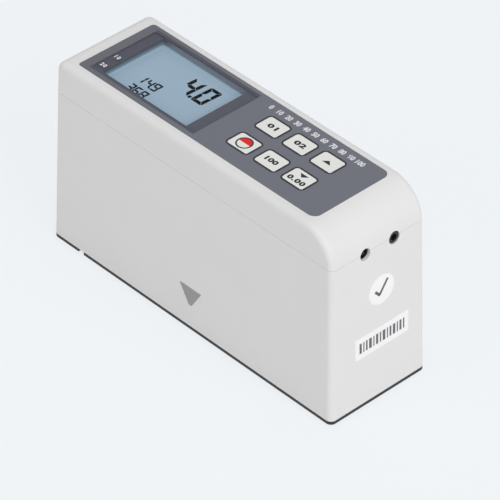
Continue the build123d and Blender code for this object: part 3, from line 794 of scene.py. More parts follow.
def settle(obj: Object, place: Point = (0, 0, 0), turn: float = 0.0, scale: Point = (1, 1, 1)) -> Object:
    """Scales, turns and moves an object, all in its mesh.

    Args:
        obj: The object, at the origin.
        place: Where its origin goes.
        turn: How far it turns about Z, in radians.
        scale: How much larger it gets along each axis.

    Returns:
        The same object.
    """
    obj.location = place
    obj.rotation_euler = (0, 0, turn)
    obj.scale = scale
    return applied(obj)


def join(pieces: list[Object], name: str) -> Object:
    """Joins objects into one mesh at the origin.

    Args:
        pieces: The objects, each settled.
        name: The name of the joined object.

    Returns:
        The joined object.
    """
    deselect()
    for piece in pieces:
        piece.select_set(True)
    bpy.context.view_layer.objects.active = pieces[0]
    if len(pieces) > 1:
        bpy.ops.object.join()
    pieces[0].name = name
    pieces[0].data.name = name
    return pieces[0]


def centred(obj: Object) -> Object:
    """Moves a settled mesh so that the middle of its box lies over the origin."""
    middle = sum((Vector(corner) for corner in obj.bound_box), Vector()) / len(obj.bound_box)
    return settle(obj, (-middle.x, -middle.y, 0))


def copy_of(obj: Object, name: str) -> Object:
    """Copies an object with its mesh.

    Args:
        obj: The object.
        name: The copy's name.

    Returns:
        The copy, with a mesh of its own.
    """
    twin = obj.copy()
    twin.data = obj.data.copy()
    twin.name = name
    bpy.context.scene.collection.objects.link(twin)
    return twin


def dress(finish: Finish, *nodes: str) -> None:
    """Gives CAD nodes a finish.

    Args:
        finish: The finish.
        nodes: The names of the nodes that wear it.
    """
    material = finish.material()
    for node in nodes:
        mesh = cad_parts[node].data
        mesh.materials.clear()
        mesh.materials.append(material)
        LOG.info("dressed %s with %s", node, material.name)


def attach(obj: Object, material: Material, body: str = METER) -> Object:
    """Finishes a new piece: its material and the body it rides on.

    Args:
        obj: The piece, settled at the origin.
        material: Its material.
        body: The name of the CAD body that it rides on.

    Returns:
        The same piece.
    """
    obj.data.materials.clear()
    obj.data.materials.append(material)
    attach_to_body(obj, body)
    LOG.info("made %s with %d faces on %s", obj.name, len(obj.data.polygons), body)
    return obj


def centre_of(node: str) -> Vector:
    """Returns the middle of a CAD node's box."""
    low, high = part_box(node)
    return (low + high) / 2


def top_of(node: str) -> float:
    """Returns the height of a CAD node's top."""
    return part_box(node)[1].z


def raised(obj: Object, thickness: float) -> Object:
    """Gives a flat mesh a thickness above its own plane, by extruding its faces.

    Args:
        obj: A flat mesh that faces +Z.
        thickness: The thickness, in metres.

    Returns:
        The same object, now closed.
    """
    with editing(obj):
        bpy.ops.mesh.remove_doubles(threshold=MERGE_GAP)
        bpy.ops.mesh.extrude_region_move(TRANSFORM_OT_translate={"value": (0, 0, thickness)})
        bpy.ops.mesh.select_all(action="SELECT")
        bpy.ops.mesh.normals_make_consistent(inside=False)
    return obj


def flat_disc(radius: float, sides: int) -> Object:
    """Makes a flat disc on the origin.

    Args:
        radius: Its radius, in metres.
        sides: How many sides its rim has.

    Returns:
        The disc, as one face.
    """
    deselect()
    bpy.ops.mesh.primitive_circle_add(vertices=sides, radius=radius, fill_type="NGON")
    return bpy.context.object


def rectangle(length: float, width: float) -> Object:
    """Makes a flat rectangle on the origin.

    Args:
        length: Its length along X, in metres.
        width: Its width along Y, in metres.

    Returns:
        The rectangle, as one face.
    """
    deselect()
    bpy.ops.mesh.primitive_plane_add(size=1.0)
    return settle(bpy.context.object, scale=(length, width, 1.0))


def rounded(face: Object, corner: float, segments: int = CORNER_SEGMENTS) -> Object:
    """Rounds the corners of a flat face, or clips them where there is one segment.

    Args:
        face: The face.
        corner: How much of each side goes, in metres.
        segments: How many sides each corner gets.

    Returns:
        The same face.
    """
    with editing(face):
        bpy.ops.mesh.bevel(offset=corner, segments=segments, affect="VERTICES")
    return face


def hollowed(face: Object, band: float) -> Object:
    """Cuts a flat face down to a band along its edge.

    Args:
        face: The face.
        band: How wide the band is, in metres.

    Returns:
        The same face.
    """
    with editing(face):
        bpy.ops.mesh.inset(thickness=band)
        bpy.ops.mesh.delete(type="FACE")
    return face


def half_disc(radius: float, sides: int, thickness: float) -> Object:
    """Makes the +Y half of a thin disc, cut by bisect and closed.

    Args:
        radius: The disc's radius, in metres.
        sides: How many sides the whole rim has.
        thickness: Its thickness, in metres.

    Returns:
        The closed half.
    """
    disc = raised(flat_disc(radius, sides), thickness)
    with editing(disc):
        bpy.ops.mesh.bisect(plane_co=(0, 0, 0), plane_no=(0, 1, 0), use_fill=True, clear_inner=True)
    return disc


def triangle(width: float, height: float, thickness: float) -> Object:
    """Makes a thin triangle that points along +Y, with its middle on the origin.

    Args:
        width: The length of its base, in metres.
        height: Its height, in metres.
        thickness: Its thickness, in metres.

    Returns:
        The closed triangle.
    """
    unit_base, unit_height = math.sqrt(3), 1.5
    face = settle(flat_disc(1.0, 3), scale=(width / unit_base, height / unit_height, 1.0))
    return raised(centred(face), thickness)


def bar(length: float, width: float, thickness: float, clip: float = 0.12) -> Object:
    """Returns a thin bar along X on the origin, its corners clipped by a share of its shorter side."""
    return raised(rounded(rectangle(length, width), clip * min(length, width), 1), thickness)


@dataclass(frozen=True)
class Lettering:
    """How plain characters are drawn.

    A figure is as high as given, and takes up the given share of the font's size. The boldness pushes
    the outline out, also as a share of that size. A spacing of 1 is the font's own, and so is a
    stretch of 1. The ink is how far the characters stand up.
    """

    figure: float
    boldness: float
    spacing: float = 1.0
    stretch: float = 1.0
    ink: float = 0.03 * MM
    share: float = 0.72
    smoothness: int = 3

    def draw(self, text: str) -> Object:
        """Draws some characters, centred on the origin and facing +Z.

        Args:
            text: The characters.

        Returns:
            The closed mesh of the characters.
        """
        deselect()
        bpy.ops.object.text_add()
        curve = bpy.context.object.data
        curve.body = text
        curve.resolution_u = self.smoothness
        curve.space_character = self.spacing
        curve.size = self.figure / self.share
        curve.offset = self.boldness * curve.size
        bpy.ops.object.convert(target="MESH")
        drawn = settle(bpy.context.object, scale=(self.stretch, 1.0, 1.0))
        return raised(centred(drawn), self.ink)


@dataclass(frozen=True)
class Softbox:
    """A square area lamp: its place and size in metres, and its power in watts."""

    name: str
    place: Point
    size: float
    power: float

    def build(self, aim: Vector) -> None:
        """Adds the lamp.

        Args:
            aim: The point that it faces.
        """
        data = bpy.data.lights.new(self.name, "AREA")
        data.shape = "SQUARE"
        data.size = self.size
        data.energy = self.power
        lamp = bpy.data.objects.new(self.name, data)
        lamp.location = self.place
        lamp.rotation_euler = (aim - lamp.location).to_track_quat("-Z", "Y").to_euler()
        bpy.context.scene.collection.objects.link(lamp)
        LOG.info("made %s", lamp.name)


@dataclass
class Studio:
    """The camera at the photograph's place, the soft lamps, the floor and the pale surround.

    The lamps stand by the socket end, overhead, and by the long side, where the light is weakest.
    """

    azimuth: float = 46.474
    elevation: float = 38.658
    roll: float = 0.448
    distance: float = 1301.171 * MM
    aim_height: float = 37.5 * MM
    shift_right: float = 4.744 * MM
    shift_up: float = -12.219 * MM
    lens: float = 276.3
    sensor: float = 36.0
    nearest: float = 0.05
    farthest: float = 50.0
    surround: Colour = srgb(239, 243, 246)
    light: Colour = srgb(251, 251, 251)
    ambient: float = 0.40
    lamps: tuple[Softbox, ...] = (
        Softbox("end_softbox", (1.5, -0.25, 0.9), 1.4, 14.8),
        Softbox("overhead_softbox", (-0.1, 0.3, 1.9), 1.6, 8.7),
        Softbox("side_softbox", (-0.5, -1.7, 0.8), 1.4, 6.2),
    )
    floor: Colour = srgb(237, 237, 237)
    floor_glow: Colour = srgb(245, 249, 252)
    floor_share: float = 0.2
    floor_roughness: float = 0.9
    floor_radius: float = 6.0
    floor_drop: float = 0.3 * MM
    floor_sides: int = 128

    @property
    def aim(self) -> Vector:
        """The point that the camera and the lamps face."""
        return Vector((0, 0, self.aim_height))

    def build(self) -> None:
        """Makes everything in the studio."""
        self.build_camera()
        self.build_surround()
        for lamp in self.lamps:
            lamp.build(self.aim)
        self.build_floor()

    def build_camera(self) -> None:
        """Places the camera where the photograph was taken from."""
        azimuth, elevation, roll = (math.radians(a) for a in (self.azimuth, self.elevation, self.roll))
        flat = math.cos(elevation)
        back = Vector((math.sin(azimuth) * flat, -math.cos(azimuth) * flat, math.sin(elevation)))
        right = (-back).cross(Vector((0, 0, 1))).normalized()
        up = right.cross(-back)
        tilted_right = math.cos(roll) * right + math.sin(roll) * up
        tilted_up = math.cos(roll) * up - math.sin(roll) * right
        place = self.aim + self.distance * back
        place += self.shift_right * tilted_right + self.shift_up * tilted_up
        turn = Matrix((tilted_right, tilted_up, back)).transposed()
        data = bpy.data.cameras.new("studio_camera")
        data.lens = self.lens
        data.sensor_width = self.sensor
        data.clip_start = self.nearest
        data.clip_end = self.farthest
        camera = bpy.data.objects.new("studio_camera", data)
        camera.matrix_world = Matrix.Translation(place) @ turn.to_4x4()
        bpy.context.scene.collection.objects.link(camera)
        bpy.context.scene.camera = camera
        LOG.info("made %s", camera.name)

    def build_surround(self) -> None:
        """Makes the soft surround, which the camera and shiny surfaces see as the pale backdrop."""
        world = bpy.data.worlds.new("studio_surround")
        bpy.context.scene.world = world
        world.use_nodes = True
        builder = NodeBuilder(world.node_tree)
        lit = builder.tree.nodes["Background"]
        builder.feed(lit.inputs["Color"], self.light)
        builder.feed(lit.inputs["Strength"], self.ambient)
        seen = builder.node("Background", {"Color": self.surround, "Strength": 1.0})
        builder.split(builder.seen_rays(), lit, seen, "World Output")

    def build_floor(self) -> None:
        """Makes the wide pale floor, which shows the backdrop's colour and keeps a soft shadow."""
        floor = flat_disc(self.floor_radius, self.floor_sides)
        floor.name = "studio_floor"
        with editing(floor):
            bpy.ops.mesh.inset(thickness=self.floor_radius / 2)
        settle(floor, (0, 0, -self.floor_drop))
        shading = Shading("studio_floor")
        shading.give(Base_Color=self.floor, Roughness=self.floor_roughness, Specular_IOR_Level=0.0)
        glow = shading.node("Emission", {"Color": self.floor_glow})
        share = shading.math("MULTIPLY", shading.seen_rays(), 1.0 - self.floor_share)
        shading.split(share, shading.shader, glow, "Material Output")
        floor.data.materials.append(shading.material)
        LOG.info("made %s", floor.name)


@dataclass
class Panel:
    """The slate control panel with its window, its white scale and the marks beside the display."""

    slate_near: Colour = srgb(99, 100, 109)
    slate_far: Colour = srgb(108, 110, 121)
    slate_turn: float = 2.0 * MM
    clear: Colour = srgb(236, 240, 243)
    clear_cover: float = 0.004
    pane_gap: float = 0.02 * MM
    pane_corner: float = 0.5 * MM
    # Painted shade: dark lines along the window's two long edges, for the shadow line at each edge.
    border: Colour = srgb(77, 81, 90)
    edge_shade_spans: tuple[Span, Span] = ((-15.05 * MM, -13.75 * MM), (15.1 * MM, 16.2 * MM))
    border_ink: float = 0.01 * MM
    white: Colour = srgb(232, 233, 236)
    scale: Lettering = Lettering(2.2 * MM, boldness=0.045, stretch=0.84)
    scale_start: float = 1.9 * MM
    scale_end: float = 44.2 * MM
    scale_line: float = 14.35 * MM
    steps: int = 11
    step: int = 10
    marks: Lettering = Lettering(1.7 * MM, boldness=0.045, spacing=1.25)
    mark_x: float = -54.25 * MM
    mark_places: tuple[float, ...] = (-4.55 * MM, -10.95 * MM)

    def dress(self) -> None:
        """Gives the panel its finish."""
        film = PrintedFilm(
            "slate_panel_print",
            self.slate_near,
            far=self.slate_far,
            start=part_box("control_panel")[0].x,
            end=self.slate_turn,
        )
        dress(film, "control_panel")

    def build(self) -> None:
        """Makes the window's pane, the dark lines of painted shade along its edges, the scale and the marks.
        """
        clear = ClearSheet("clear_window", self.clear, cover=self.clear_cover).material()
        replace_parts(attach(self.build_pane(), clear), "display_window")
        # The dark lines are painted shade, made with the ink finish.
        attach(self.build_edge_shade(), Ink("dark_border_ink", self.border).material())
        ink = Ink("white_panel_ink", self.white).material()
        attach(self.build_scale(), ink)
        attach(self.build_marks(), ink)

    def build_pane(self) -> Object:
        """Returns the window's clear pane, a hair smaller than its place and a hair above the frame."""
        low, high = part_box("display_window")
        face = rectangle(high.x - low.x - 2 * self.pane_gap, high.y - low.y - 2 * self.pane_gap)
        pane = raised(rounded(face, self.pane_corner), high.z - low.z - self.pane_gap)
        pane.name = "window_pane"
        return settle(pane, (*centre_of("display_window").xy, low.z + self.pane_gap))

    def build_edge_shade(self) -> Object:
        """Returns the dark lines of painted shade along the window's two long edges, for the shadow line at
        each edge.
        """
        low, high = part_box("display_window")
        lines = []
        for start, end in self.edge_shade_spans:
            line = bar(high.x - low.x, end - start, self.border_ink)
            lines.append(settle(line, ((low.x + high.x) / 2, (start + end) / 2, high.z)))
        return join(lines, "window_edge_shade")

    def build_scale(self) -> Object:
        """Returns the row of plain numbers."""
        pitch = (self.scale_end - self.scale_start) / (self.steps - 1)
        height = top_of("control_panel")
        numbers = []
        for index in range(self.steps):
            number = self.scale.draw(str(index * self.step))
            numbers.append(settle(number, (self.scale_start + index * pitch, self.scale_line, height)))
        return join(numbers, "panel_scale")

    def build_marks(self) -> Object:
        """Returns the two small pairs of figures beside the display."""
        height = top_of("display_window")
        marks = []
        for number, across in enumerate(self.mark_places, start=1):
            mark = self.marks.draw(str(number * self.step))
            marks.append(settle(mark, (self.mark_x, across, height)))
        return join(marks, "display_marks")


@dataclass(frozen=True)
class FigureSize:
    """The size of a seven-segment figure, between the middles of its strokes."""

    height: float
    width: float
    pitch: float
    stroke: float
    gap: float = 0.1 * MM
    clip: float = 0.35

    @property
    def clipped(self) -> float:
        """How far a figure's outer corners are cut off along each side."""
        return self.clip * self.stroke


@dataclass
class Readout:
    """One number on the display, in seven-segment figures that lean a little."""

    name: str
    text: str
    start: Place
    size: FigureSize
    lean: float = 0.05
    half_digit_shift: float = 0.6 * MM
    point_share: float = 0.85
    ink: float = 0.02 * MM

    # The segments that are on in each figure, from 0 to 9.
    SEGMENTS: ClassVar[tuple[str, ...]] = tuple(
        "abcdef bc abged abgcd fgbc afgcd afgedc abc abcdefg abcdfg".split()
    )

    def build(self) -> Object:
        """Returns the number as one mesh of segments, on the display glass."""
        patterns = {"level": self.level(), "upright": self.upright(), "middle": self.middle()}
        parts = []
        across = 0.0
        for index, sign in enumerate(self.text):
            if sign == ".":
                parts.append(self.point(across))
                continue
            shift = -self.half_digit_shift if sign == "1" and index == 0 else 0.0
            for letter in self.SEGMENTS[int(sign)]:
                kind, (x, y), mirror = self.place_of(letter)
                segment = copy_of(patterns[kind], "segment")
                parts.append(settle(segment, (across + shift + x, y, 0), scale=(*mirror, 1)))
            across += self.size.pitch
        for pattern in patterns.values():
            bpy.data.objects.remove(pattern)
        number = raised(join(parts, self.name), self.ink)
        lean = Matrix.Identity(4)
        lean[0][1] = self.lean
        number.data.transform(lean)
        return settle(number, (*self.start, top_of("display_glass")))

    def place_of(self, letter: str) -> tuple[str, Place, tuple[int, int]]:
        """Says where a segment goes in its figure.

        Args:
            letter: The segment's letter, from a to g.

        Returns:
            The pattern, its middle from the figure's lower left corner, and how it is mirrored.
        """
        width, height = self.size.width, self.size.height
        lower, upper = height / 4, 3 * height / 4
        return {
            "a": ("level", (width / 2, height), (1, 1)),
            "b": ("upright", (width, upper), (1, 1)),
            "c": ("upright", (width, lower), (1, -1)),
            "d": ("level", (width / 2, 0.0), (1, -1)),
            "e": ("upright", (0.0, lower), (-1, -1)),
            "f": ("upright", (0.0, upper), (-1, 1)),
            "g": ("middle", (width / 2, height / 2), (1, 1)),
        }[letter]

    def level(self) -> Object:
        """Returns the top segment: a bar mitred at both ends, longer along its outer edge."""
        size = self.size
        end = size.width / 2 - size.gap
        corner = (size.width + size.stroke) / 2 - size.clipped
        cuts = []
        for side in (-1, 1):
            cuts.append(((side * end, 0, 0), (side, -1, 0)))
            cuts.append(((side * corner, size.stroke / 2, 0), (side, 1, 0)))
        return self.trimmed(size.width + size.stroke, size.stroke, cuts)

    def upright(self) -> Object:
        """Returns the upper right segment: mitred at the figure's corner, and cut at its middle."""
        size = self.size
        end = size.height / 4 - size.gap
        corner = size.height / 4 + size.stroke / 2 - size.clipped
        cuts = [
            ((0, end, 0), (-1, 1, 0)),
            ((size.stroke / 2, corner, 0), (1, 1, 0)),
            ((0, -end, 0), (-1, -1, 0)),
            ((0, -end, 0), (0, -1, 0)),
        ]
        return self.trimmed(size.stroke, size.height / 2 + size.stroke, cuts)

    def middle(self) -> Object:
        """Returns the middle segment: a bar with a point at each end."""
        end = self.size.width / 2 - self.size.gap
        cuts = [((side * end, 0, 0), (side, rise, 0)) for side in (-1, 1) for rise in (-1, 1)]
        return self.trimmed(self.size.width, self.size.stroke, cuts)

    def point(self, across: float) -> Object:
        """Returns the decimal point, flat, halfway between two figures."""
        side = self.point_share * self.size.stroke
        return settle(rectangle(side, side), (across - (self.size.pitch - self.size.width) / 2, 0, 0))

    def trimmed(self, length: float, width: float, cuts: list[Cut]) -> Object:
        """Makes a flat bar on the origin and trims it with planes.

        Args:
            length: Its length along X, in metres.
            width: Its width along Y, in metres.
            cuts: A point of each plane, and the direction of what it cuts off.

        Returns:
            The flat segment.
        """
        segment = rectangle(length, width)
        with editing(segment):
            for point, direction in cuts:
                bpy.ops.mesh.select_all(action="SELECT")
                bpy.ops.mesh.bisect(plane_co=point, plane_no=direction, clear_outer=True)
        return segment


@dataclass
class Display:
    """The display: its glass, the dark well round it and the three numbers on it."""

    pale: Colour = srgb(159, 184, 203)
    # Painted light on the display close to the well's walls, lighter than the rest.
    edge: Colour = srgb(178, 203, 222)
    view_low: Place = (-52.3 * MM, -13.65 * MM)
    view_high: Place = (-10.3 * MM, 14.75 * MM)
    rim_near: Colour = srgb(80, 81, 92)
    rim_far: Colour = srgb(83, 86, 96)
    # Painted light and shade on the well's walls, with a painted reflection of the display at their foot.
    painted_wall_top: WellPart = WellPart(srgb(82, 86, 97), srgb(130, 134, 144))
    painted_wall_foot: WellPart = WellPart(srgb(130, 148, 163), srgb(134, 147, 159))
    wall_rise: float = 1.9 * MM
    wall_turn: float = 3.0 * MM
    segment: Colour = srgb(4, 5, 8)
    large: FigureSize = FigureSize(8.3 * MM, 3.85 * MM, pitch=7.4 * MM, stroke=1.5 * MM)
    small: FigureSize = FigureSize(3.8 * MM, 2.0 * MM, pitch=3.1 * MM, stroke=0.75 * MM, gap=0.06 * MM)
    main_start: Place = (-29.7 * MM, 0.9 * MM)
    upper_start: Place = (-42.8 * MM, -5.85 * MM)
    lower_start: Place = (-42.8 * MM, -11.95 * MM)

    def dress(self) -> None:
        """Gives the display's nodes their finishes."""
        crystal = LiquidCrystal(
            "display_blue", self.pale, edge=self.edge, low=self.view_low, high=self.view_high
        )
        dress(crystal, "display_glass")
        floor = top_of("display_glass")
        well = DisplayWell(
            "dark_display_well",
            self.rim_near,
            rim_far=self.rim_far,
            painted_wall_top=self.painted_wall_top,
            painted_wall_foot=self.painted_wall_foot,
            bottom=floor,
            top=floor + self.wall_rise,
            turn=self.view_low[0] + self.wall_turn,
        )
        dress(well, "display_frame")

    def build(self) -> None:
        """Makes the numbers."""
        dark = DarkSegment("dark_segment", self.segment).material()
        for readout in (
            Readout("main_readout", "4.0", self.main_start, self.large),
            Readout("upper_readout", "14.9", self.upper_start, self.small),
            Readout("lower_readout", "36.8", self.lower_start, self.small),
        ):
            attach(readout.build(), dark)


@dataclass
class KeyLegend:
    """What one key carries: a number, an arrow, an arrow over a number, or the half-filled circle."""

    node: str
    mark: KeyMark
    text: str = ""
    spacing: float = 1.0
    stretch: float = 1.35
    figure: float = 2.05 * MM
    boldness: float = 0.055
    ink: float = 0.03 * MM
    circle: float = 3.1 * MM
    circle_line: float = 0.58 * MM
    circle_sides: int = 64
    arrow_width: float = 3.8 * MM
    arrow_height: float = 1.8 * MM
    upper_place: float = 1.65 * MM
    lower_place: float = -1.4 * MM
    proud: float = 0.003 * MM

    def build(self, dark: Material, red: Material) -> None:
        """Makes the legend on its key.

        Args:
            dark: The dark ink.
            red: The red ink.
        """
        if self.mark is KeyMark.POWER:
            rim = hollowed(flat_disc(self.circle, self.circle_sides), self.circle_line)
            self.place(raised(rim, self.ink), "rim", dark)
            inner = self.circle - self.circle_line
            self.place(half_disc(inner, self.circle_sides, self.ink), "fill", red)
        elif self.mark is KeyMark.NUMBER:
            self.place(self.number(), "legend", dark)
        elif self.mark is KeyMark.UP:
            self.place(self.arrow(), "legend", dark)
        else:
            arrow = settle(self.arrow(), (0, self.upper_place, 0), turn=math.pi)
            number = settle(self.number(), (0, self.lower_place, 0))
            self.place(join([arrow, number], "down_legend"), "legend", dark)

    def arrow(self) -> Object:
        """Returns the key's arrow, which points up the key."""
        return triangle(self.arrow_width, self.arrow_height, self.ink)

    def number(self) -> Object:
        """Returns the key's number, drawn wide."""
        return Lettering(self.figure, self.boldness, self.spacing, self.stretch, self.ink).draw(self.text)

    def place(self, obj: Object, kind: str, ink: Material) -> None:
        """Puts a print on the middle of the key's top, on the key's own body.

        Args:
            obj: The print, on the origin.
            kind: The last word of its name.
            ink: Its material.
        """
        settle(obj, (*centre_of(self.node).xy, top_of(self.node) + self.proud - self.ink))
        obj.name = f"{self.node}_{kind}"
        attach(obj, ink, f"{self.node}_body")


@dataclass
class Keypad:
    """The six keys, their legends, the dark rings of painted shade round them, and the switches under them.
    """

    cap: Colour = srgb(237, 238, 234)
    dark: Colour = srgb(34, 34, 38)
    red: Colour = srgb(232, 34, 34)
    switch: Colour = srgb(34, 34, 36)
    key_length: float = 9.8 * MM
    key_width: float = 7.8 * MM
    key_corner: float = 1.3 * MM
    # How wide the painted shade along each key's face edge is.
    edge_shade_width: float = 0.16 * MM
    # Painted shade: the colour of the dark rings round the keys and of the line along each key's face edge,
    # for the shadow in the gap.
    seal: Colour = srgb(40, 41, 46)
    gap_shade_clearance: float = 0.06 * MM
    gap_shade_band: float = 0.5 * MM
    gap_shade_thickness: float = 0.07 * MM
    legends: tuple[KeyLegend, ...] = (
        KeyLegend("key_power", KeyMark.POWER),
        KeyLegend("key_calibrate", KeyMark.NUMBER, "100", 1.05),
        KeyLegend("key_down", KeyMark.DOWN, "0.00", 1.15),
        KeyLegend("key_black", KeyMark.NUMBER, "01", 1.15, 1.6),
        KeyLegend("key_white", KeyMark.NUMBER, "02", 1.1, 1.6),
        KeyLegend("key_up", KeyMark.UP),
    )

    def dress(self) -> None:
        """Gives the keys and switches their finishes."""
        for legend in self.legends:
            # Each key's face gets painted shade along its edge, in the colour of the rings round it.
            cap = KeyCap(
                f"{legend.node}_cap",
                self.cap,
                line=self.seal,
                middle=centre_of(legend.node),
                half_length=self.key_length / 2 - self.edge_shade_width,
                half_width=self.key_width / 2 - self.edge_shade_width,
            )
            dress(cap, legend.node)
        dress(MouldedPlastic("switch_black", self.switch, grain=Grain(0.45)), "key_switches")

    def build(self) -> None:
        """Makes the legends and the dark rings of painted shade round the keys."""
        dark = Ink("dark_legend_ink", self.dark).material()
        red = Ink("red_legend_ink", self.red).material()
        for legend in self.legends:
            legend.build(dark, red)
        # Painted shade: the dark rings stand in for the shadow in the gap round each key.
        rubber = MouldedPlastic("dark_key_seal", self.seal, grain=Grain(0.7)).material()
        attach(self.build_gap_shades(), rubber)

    def build_gap_shades(self) -> Object:
        """Returns the thin dark rings of painted shade that lie on the panel round each key, for the shadow
        in the gap, as one piece.
        """
        reach = self.gap_shade_clearance + self.gap_shade_band
        face = rectangle(self.key_length + 2 * reach, self.key_width + 2 * reach)
        band = hollowed(rounded(face, self.key_corner + reach), self.gap_shade_band)
        pattern = raised(band, self.gap_shade_thickness)
        height = top_of("control_panel")
        gap_shades = []
        for legend in self.legends:
            seal = copy_of(pattern, "key_seal")
            gap_shades.append(settle(seal, (*centre_of(legend.node).xy, height)))
        bpy.data.objects.remove(pattern)
        return join(gap_shades, "key_gap_shades")


@dataclass(frozen=True)
class Stroke:
    """One stroke of a tick: its length, its turn in degrees, and the place of its middle."""

    length: float
    turn: float
    place: Place


@dataclass
class SocketEnd:
    """The rounded end: its two sockets and the two labels with a plain tick and plain bars."""

    black: Colour = srgb(30, 31, 34)
    paper: Colour = srgb(250, 250, 250)
    grey: Colour = srgb(104, 104, 107)
    draft: float = math.radians(2.1)
    ink: float = 0.03 * MM
    tick: tuple[Stroke, Stroke] = (
        Stroke(3.1 * MM, -48, (-1.9 * MM, -0.9 * MM)),
        Stroke(6.6 * MM, 54, (0.85 * MM, 0.65 * MM)),
    )
    tick_width: float = 1.0 * MM
    bar_height: float = 4.2 * MM
    bar_widths: tuple[float, ...] = (1.0, 0.5, 0.7, 1.2, 0.5, 1.0, 0.6, 1.2, 0.5, 0.8, 1.1, 0.5, 0.9, 0.6)
    bar_gap: float = 0.75 * MM

    def dress(self) -> None:
        """Gives the sockets and labels their finishes."""
        socket = MouldedPlastic("socket_black", self.black, grain=Grain(0.4, drift=0.1))
        dress(socket, "output_jack", "power_socket")
        dress(LabelStock("label_paper", self.paper), "round_label", "end_label")

    def build(self) -> None:
        """Makes the print on the two labels."""
        grey = Ink("label_print_grey", self.grey).material()
        attach(self.build_tick(), grey)
        attach(self.build_bars(), grey)

    def stand(self, obj: Object, node: str) -> Object:
        """Stands a flat print up on a label, where its X runs along +Y and its Y runs up.

        Args:
            obj: The print, flat on the origin.
            node: The label's CAD node.

        Returns:
            The settled print.
        """
        low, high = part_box(node)
        out = Vector((math.cos(self.draft), 0, math.sin(self.draft)))
        along = Vector((0, 1, 0))
        turn = Matrix((along, out.cross(along), out)).transposed().to_4x4()
        half_thickness = (high.x - low.x - (high.z - low.z) * math.tan(self.draft)) / 2
        obj.matrix_world = Matrix.Translation(centre_of(node) + out * half_thickness) @ turn
        return applied(obj)

    def build_tick(self) -> Object:
        """Returns a plain tick for the round label."""
        parts = []
        for stroke in self.tick:
            part = bar(stroke.length, self.tick_width, self.ink)
            parts.append(settle(part, (*stroke.place, 0), math.radians(stroke.turn)))
        return self.stand(join(parts, "round_label_tick"), "round_label")

    def build_bars(self) -> Object:
        """Returns the row of plain bars for the rectangular label."""
        widths = [width * MM for width in self.bar_widths]
        across = -(sum(widths) + self.bar_gap * (len(widths) - 1)) / 2
        parts = []
        for width in widths:
            parts.append(settle(bar(width, self.bar_height, self.ink), (across + width / 2, 0, 0)))
            across += width + self.bar_gap
        return self.stand(join(parts, "end_label_bars"), "end_label")


@dataclass
class Casing:
    """The two grey shells, the black base plate, the battery cover, and the mark on the long side."""

    shell: Colour = srgb(232, 231, 231)
    # Painted light on the wall of the socket's hole, paler than the shell.
    painted_bore_light: Colour = srgb(255, 255, 255)
    hole_height: float = 62.85 * MM
    hole_radius: float = 2.3 * MM
    base: Colour = srgb(46, 47, 50)
    arrow: Colour = srgb(160, 159, 159)

    def dress(self) -> None:
        """Gives the casing's nodes their finishes."""
        mouth = Vector((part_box("power_socket")[1].x, centre_of("power_socket").y, self.hole_height))
        # The shell carries painted light on the wall of the socket's hole.
        shell = PaintedBorePlastic(
            "light_grey_shell", self.shell, painted_bore_light=self.painted_bore_light, mouth=mouth, radius=self.hole_radius
        )
        dress(shell, "lower_housing", "top_cover", "battery_cover")
        dress(MouldedPlastic("black_base_plate", self.base, grain=Grain(0.55, drift=0.1)), "base_plate")
        dress(Ink("grey_arrow_ink", self.arrow), "side_arrow")


@dataclass
class Optics:
    """The optical head with its lens, lamp, filters and detectors."""

    head: Colour = srgb(26, 26, 28)
    lens: Colour = srgb(250, 252, 252)
    lamp: Colour = srgb(252, 248, 236)
    filters: Colour = srgb(120, 190, 96)
    mask: Colour = srgb(24, 84, 52)
    track: Colour = srgb(44, 112, 70)
    can: Colour = srgb(186, 184, 176)
    can_roughness: float = 0.34

    def dress(self) -> None:
        """Gives the optical nodes their finishes."""
        head = Grain(0.75, depth=0.02 * MM)
        dress(MouldedPlastic("matt_black_head", self.head, grain=head), "optical_head")
        dress(OpticGlass("lens_glass", self.lens), "condenser_lens")
        satin = replace(OpticGlass.grain, roughness=0.08)
        dress(OpticGlass("lamp_glass", self.lamp, grain=satin), "lamp")
        dress(OpticGlass("green_filter_glass", self.filters), "colour_filters")
        dress(SolderMask("small_board_mask", self.mask, track=self.track), "lamp_board", "detector_boards")
        dress(RolledMetal("detector_can", self.can, self.can_roughness), "light_detectors")


@dataclass
class Electronics:
    """The circuit board, its chips and the rubber strips that feed the display."""

    mask: Colour = srgb(20, 92, 54)
    track: Colour = srgb(40, 122, 74)
    epoxy: Colour = srgb(30, 31, 32)
    rubber: Colour = srgb(202, 150, 160)

    def dress(self) -> None:
        """Gives the electronic nodes their finishes."""
        dress(SolderMask("board_mask", self.mask, track=self.track), "circuit_board")
        dress(MouldedPlastic("chip_epoxy", self.epoxy, grain=Grain(0.6, scale=5200.0)), "board_chips")
        strips = MouldedPlastic("striped_elastomer", self.rubber, grain=Grain(0.7, scale=6000.0))
        dress(strips, "contact_strips")


@dataclass(frozen=True)
class ScrewKind:
    """One kind of screw: its node, its thread's pitch, its head's height and where it points."""

    node: str
    pitch: float
    head: float
    points_up: bool = True


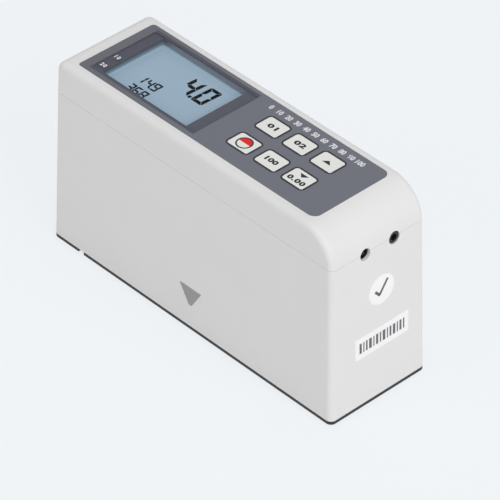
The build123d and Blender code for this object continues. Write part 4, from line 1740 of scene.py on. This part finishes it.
@dataclass
class Fasteners:
    """The screws, threaded from the head's underside to the point."""

    steel: Colour = srgb(176, 178, 180)
    screws: tuple[ScrewKind, ...] = (
        ScrewKind("base_screws", 0.9 * MM, 2.2 * MM),
        ScrewKind("housing_screws", 1.1 * MM, 2.0 * MM),
        ScrewKind("board_screws", 0.7 * MM, 1.3 * MM),
        ScrewKind("head_screws", 0.8 * MM, 1.6 * MM, points_up=False),
    )

    def dress(self) -> None:
        """Gives each kind of screw its own thread."""
        for screw in self.screws:
            low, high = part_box(screw.node)
            start = low.z + screw.head if screw.points_up else low.z
            end = high.z if screw.points_up else high.z - screw.head
            steel = ThreadedSteel(
                f"plated_{screw.node}", self.steel, pitch=screw.pitch, start=start, end=end
            )
            dress(steel, screw.node)


@dataclass
class Battery:
    """The four cells with plain banded sleeves, every other one turned over, and their contacts."""

    main: Colour = srgb(62, 84, 112)
    band: Colour = srgb(206, 210, 214)
    metal: Colour = srgb(196, 196, 192)
    nickel: Colour = srgb(204, 200, 190)
    nickel_roughness: float = 0.36
    cells: int = 4
    main_share: float = 0.74
    button_end: float = 1.4 * MM
    plain_end: float = 0.5 * MM

    def dress(self) -> None:
        """Gives the cells and contacts their finishes."""
        for number in range(1, self.cells + 1):
            self.dress_cell(number, turned=number % 2 == 0)
        nickel = RolledMetal("nickel_contact", self.nickel, self.nickel_roughness)
        dress(nickel, "contact_plates", "contact_springs")

    def dress_cell(self, number: int, turned: bool) -> None:
        """Gives one cell its sleeve.

        Args:
            number: The cell's number, from 1.
            turned: Whether its button end is at the bottom.
        """
        node = f"battery_cell_{number}"
        low, high = (corner.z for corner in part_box(node))
        colours = (self.band, self.main) if turned else (self.main, self.band)
        ends = (self.button_end, self.plain_end) if turned else (self.plain_end, self.button_end)
        share = 1 - self.main_share if turned else self.main_share
        sleeve = CellSleeve(
            f"cell_sleeve_{number}",
            colours[0],
            upper=colours[1],
            metal=self.metal,
            low=low + ends[0],
            high=high - ends[1],
            split=low + share * (high - low),
        )
        dress(sleeve, node)


def write_sizes() -> None:
    """Updates the view layer.
    """
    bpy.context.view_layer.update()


def main() -> None:
    """Builds the studio, dresses each sub-assembly in turn and builds the new pieces."""
    logging.basicConfig(level=logging.INFO, format="%(name)s: %(message)s")
    bpy.context.scene.view_settings.view_transform = "Standard"
    Studio().build()
    printed = (Panel(), Display(), Keypad(), SocketEnd())
    plain = (Casing(), Optics(), Electronics(), Fasteners(), Battery())
    for assembly in (*printed, *plain):
        assembly.dress()
    for assembly in printed:
        assembly.build()
    deselect()
    write_sizes()


if __name__ == "__main__":
    main()
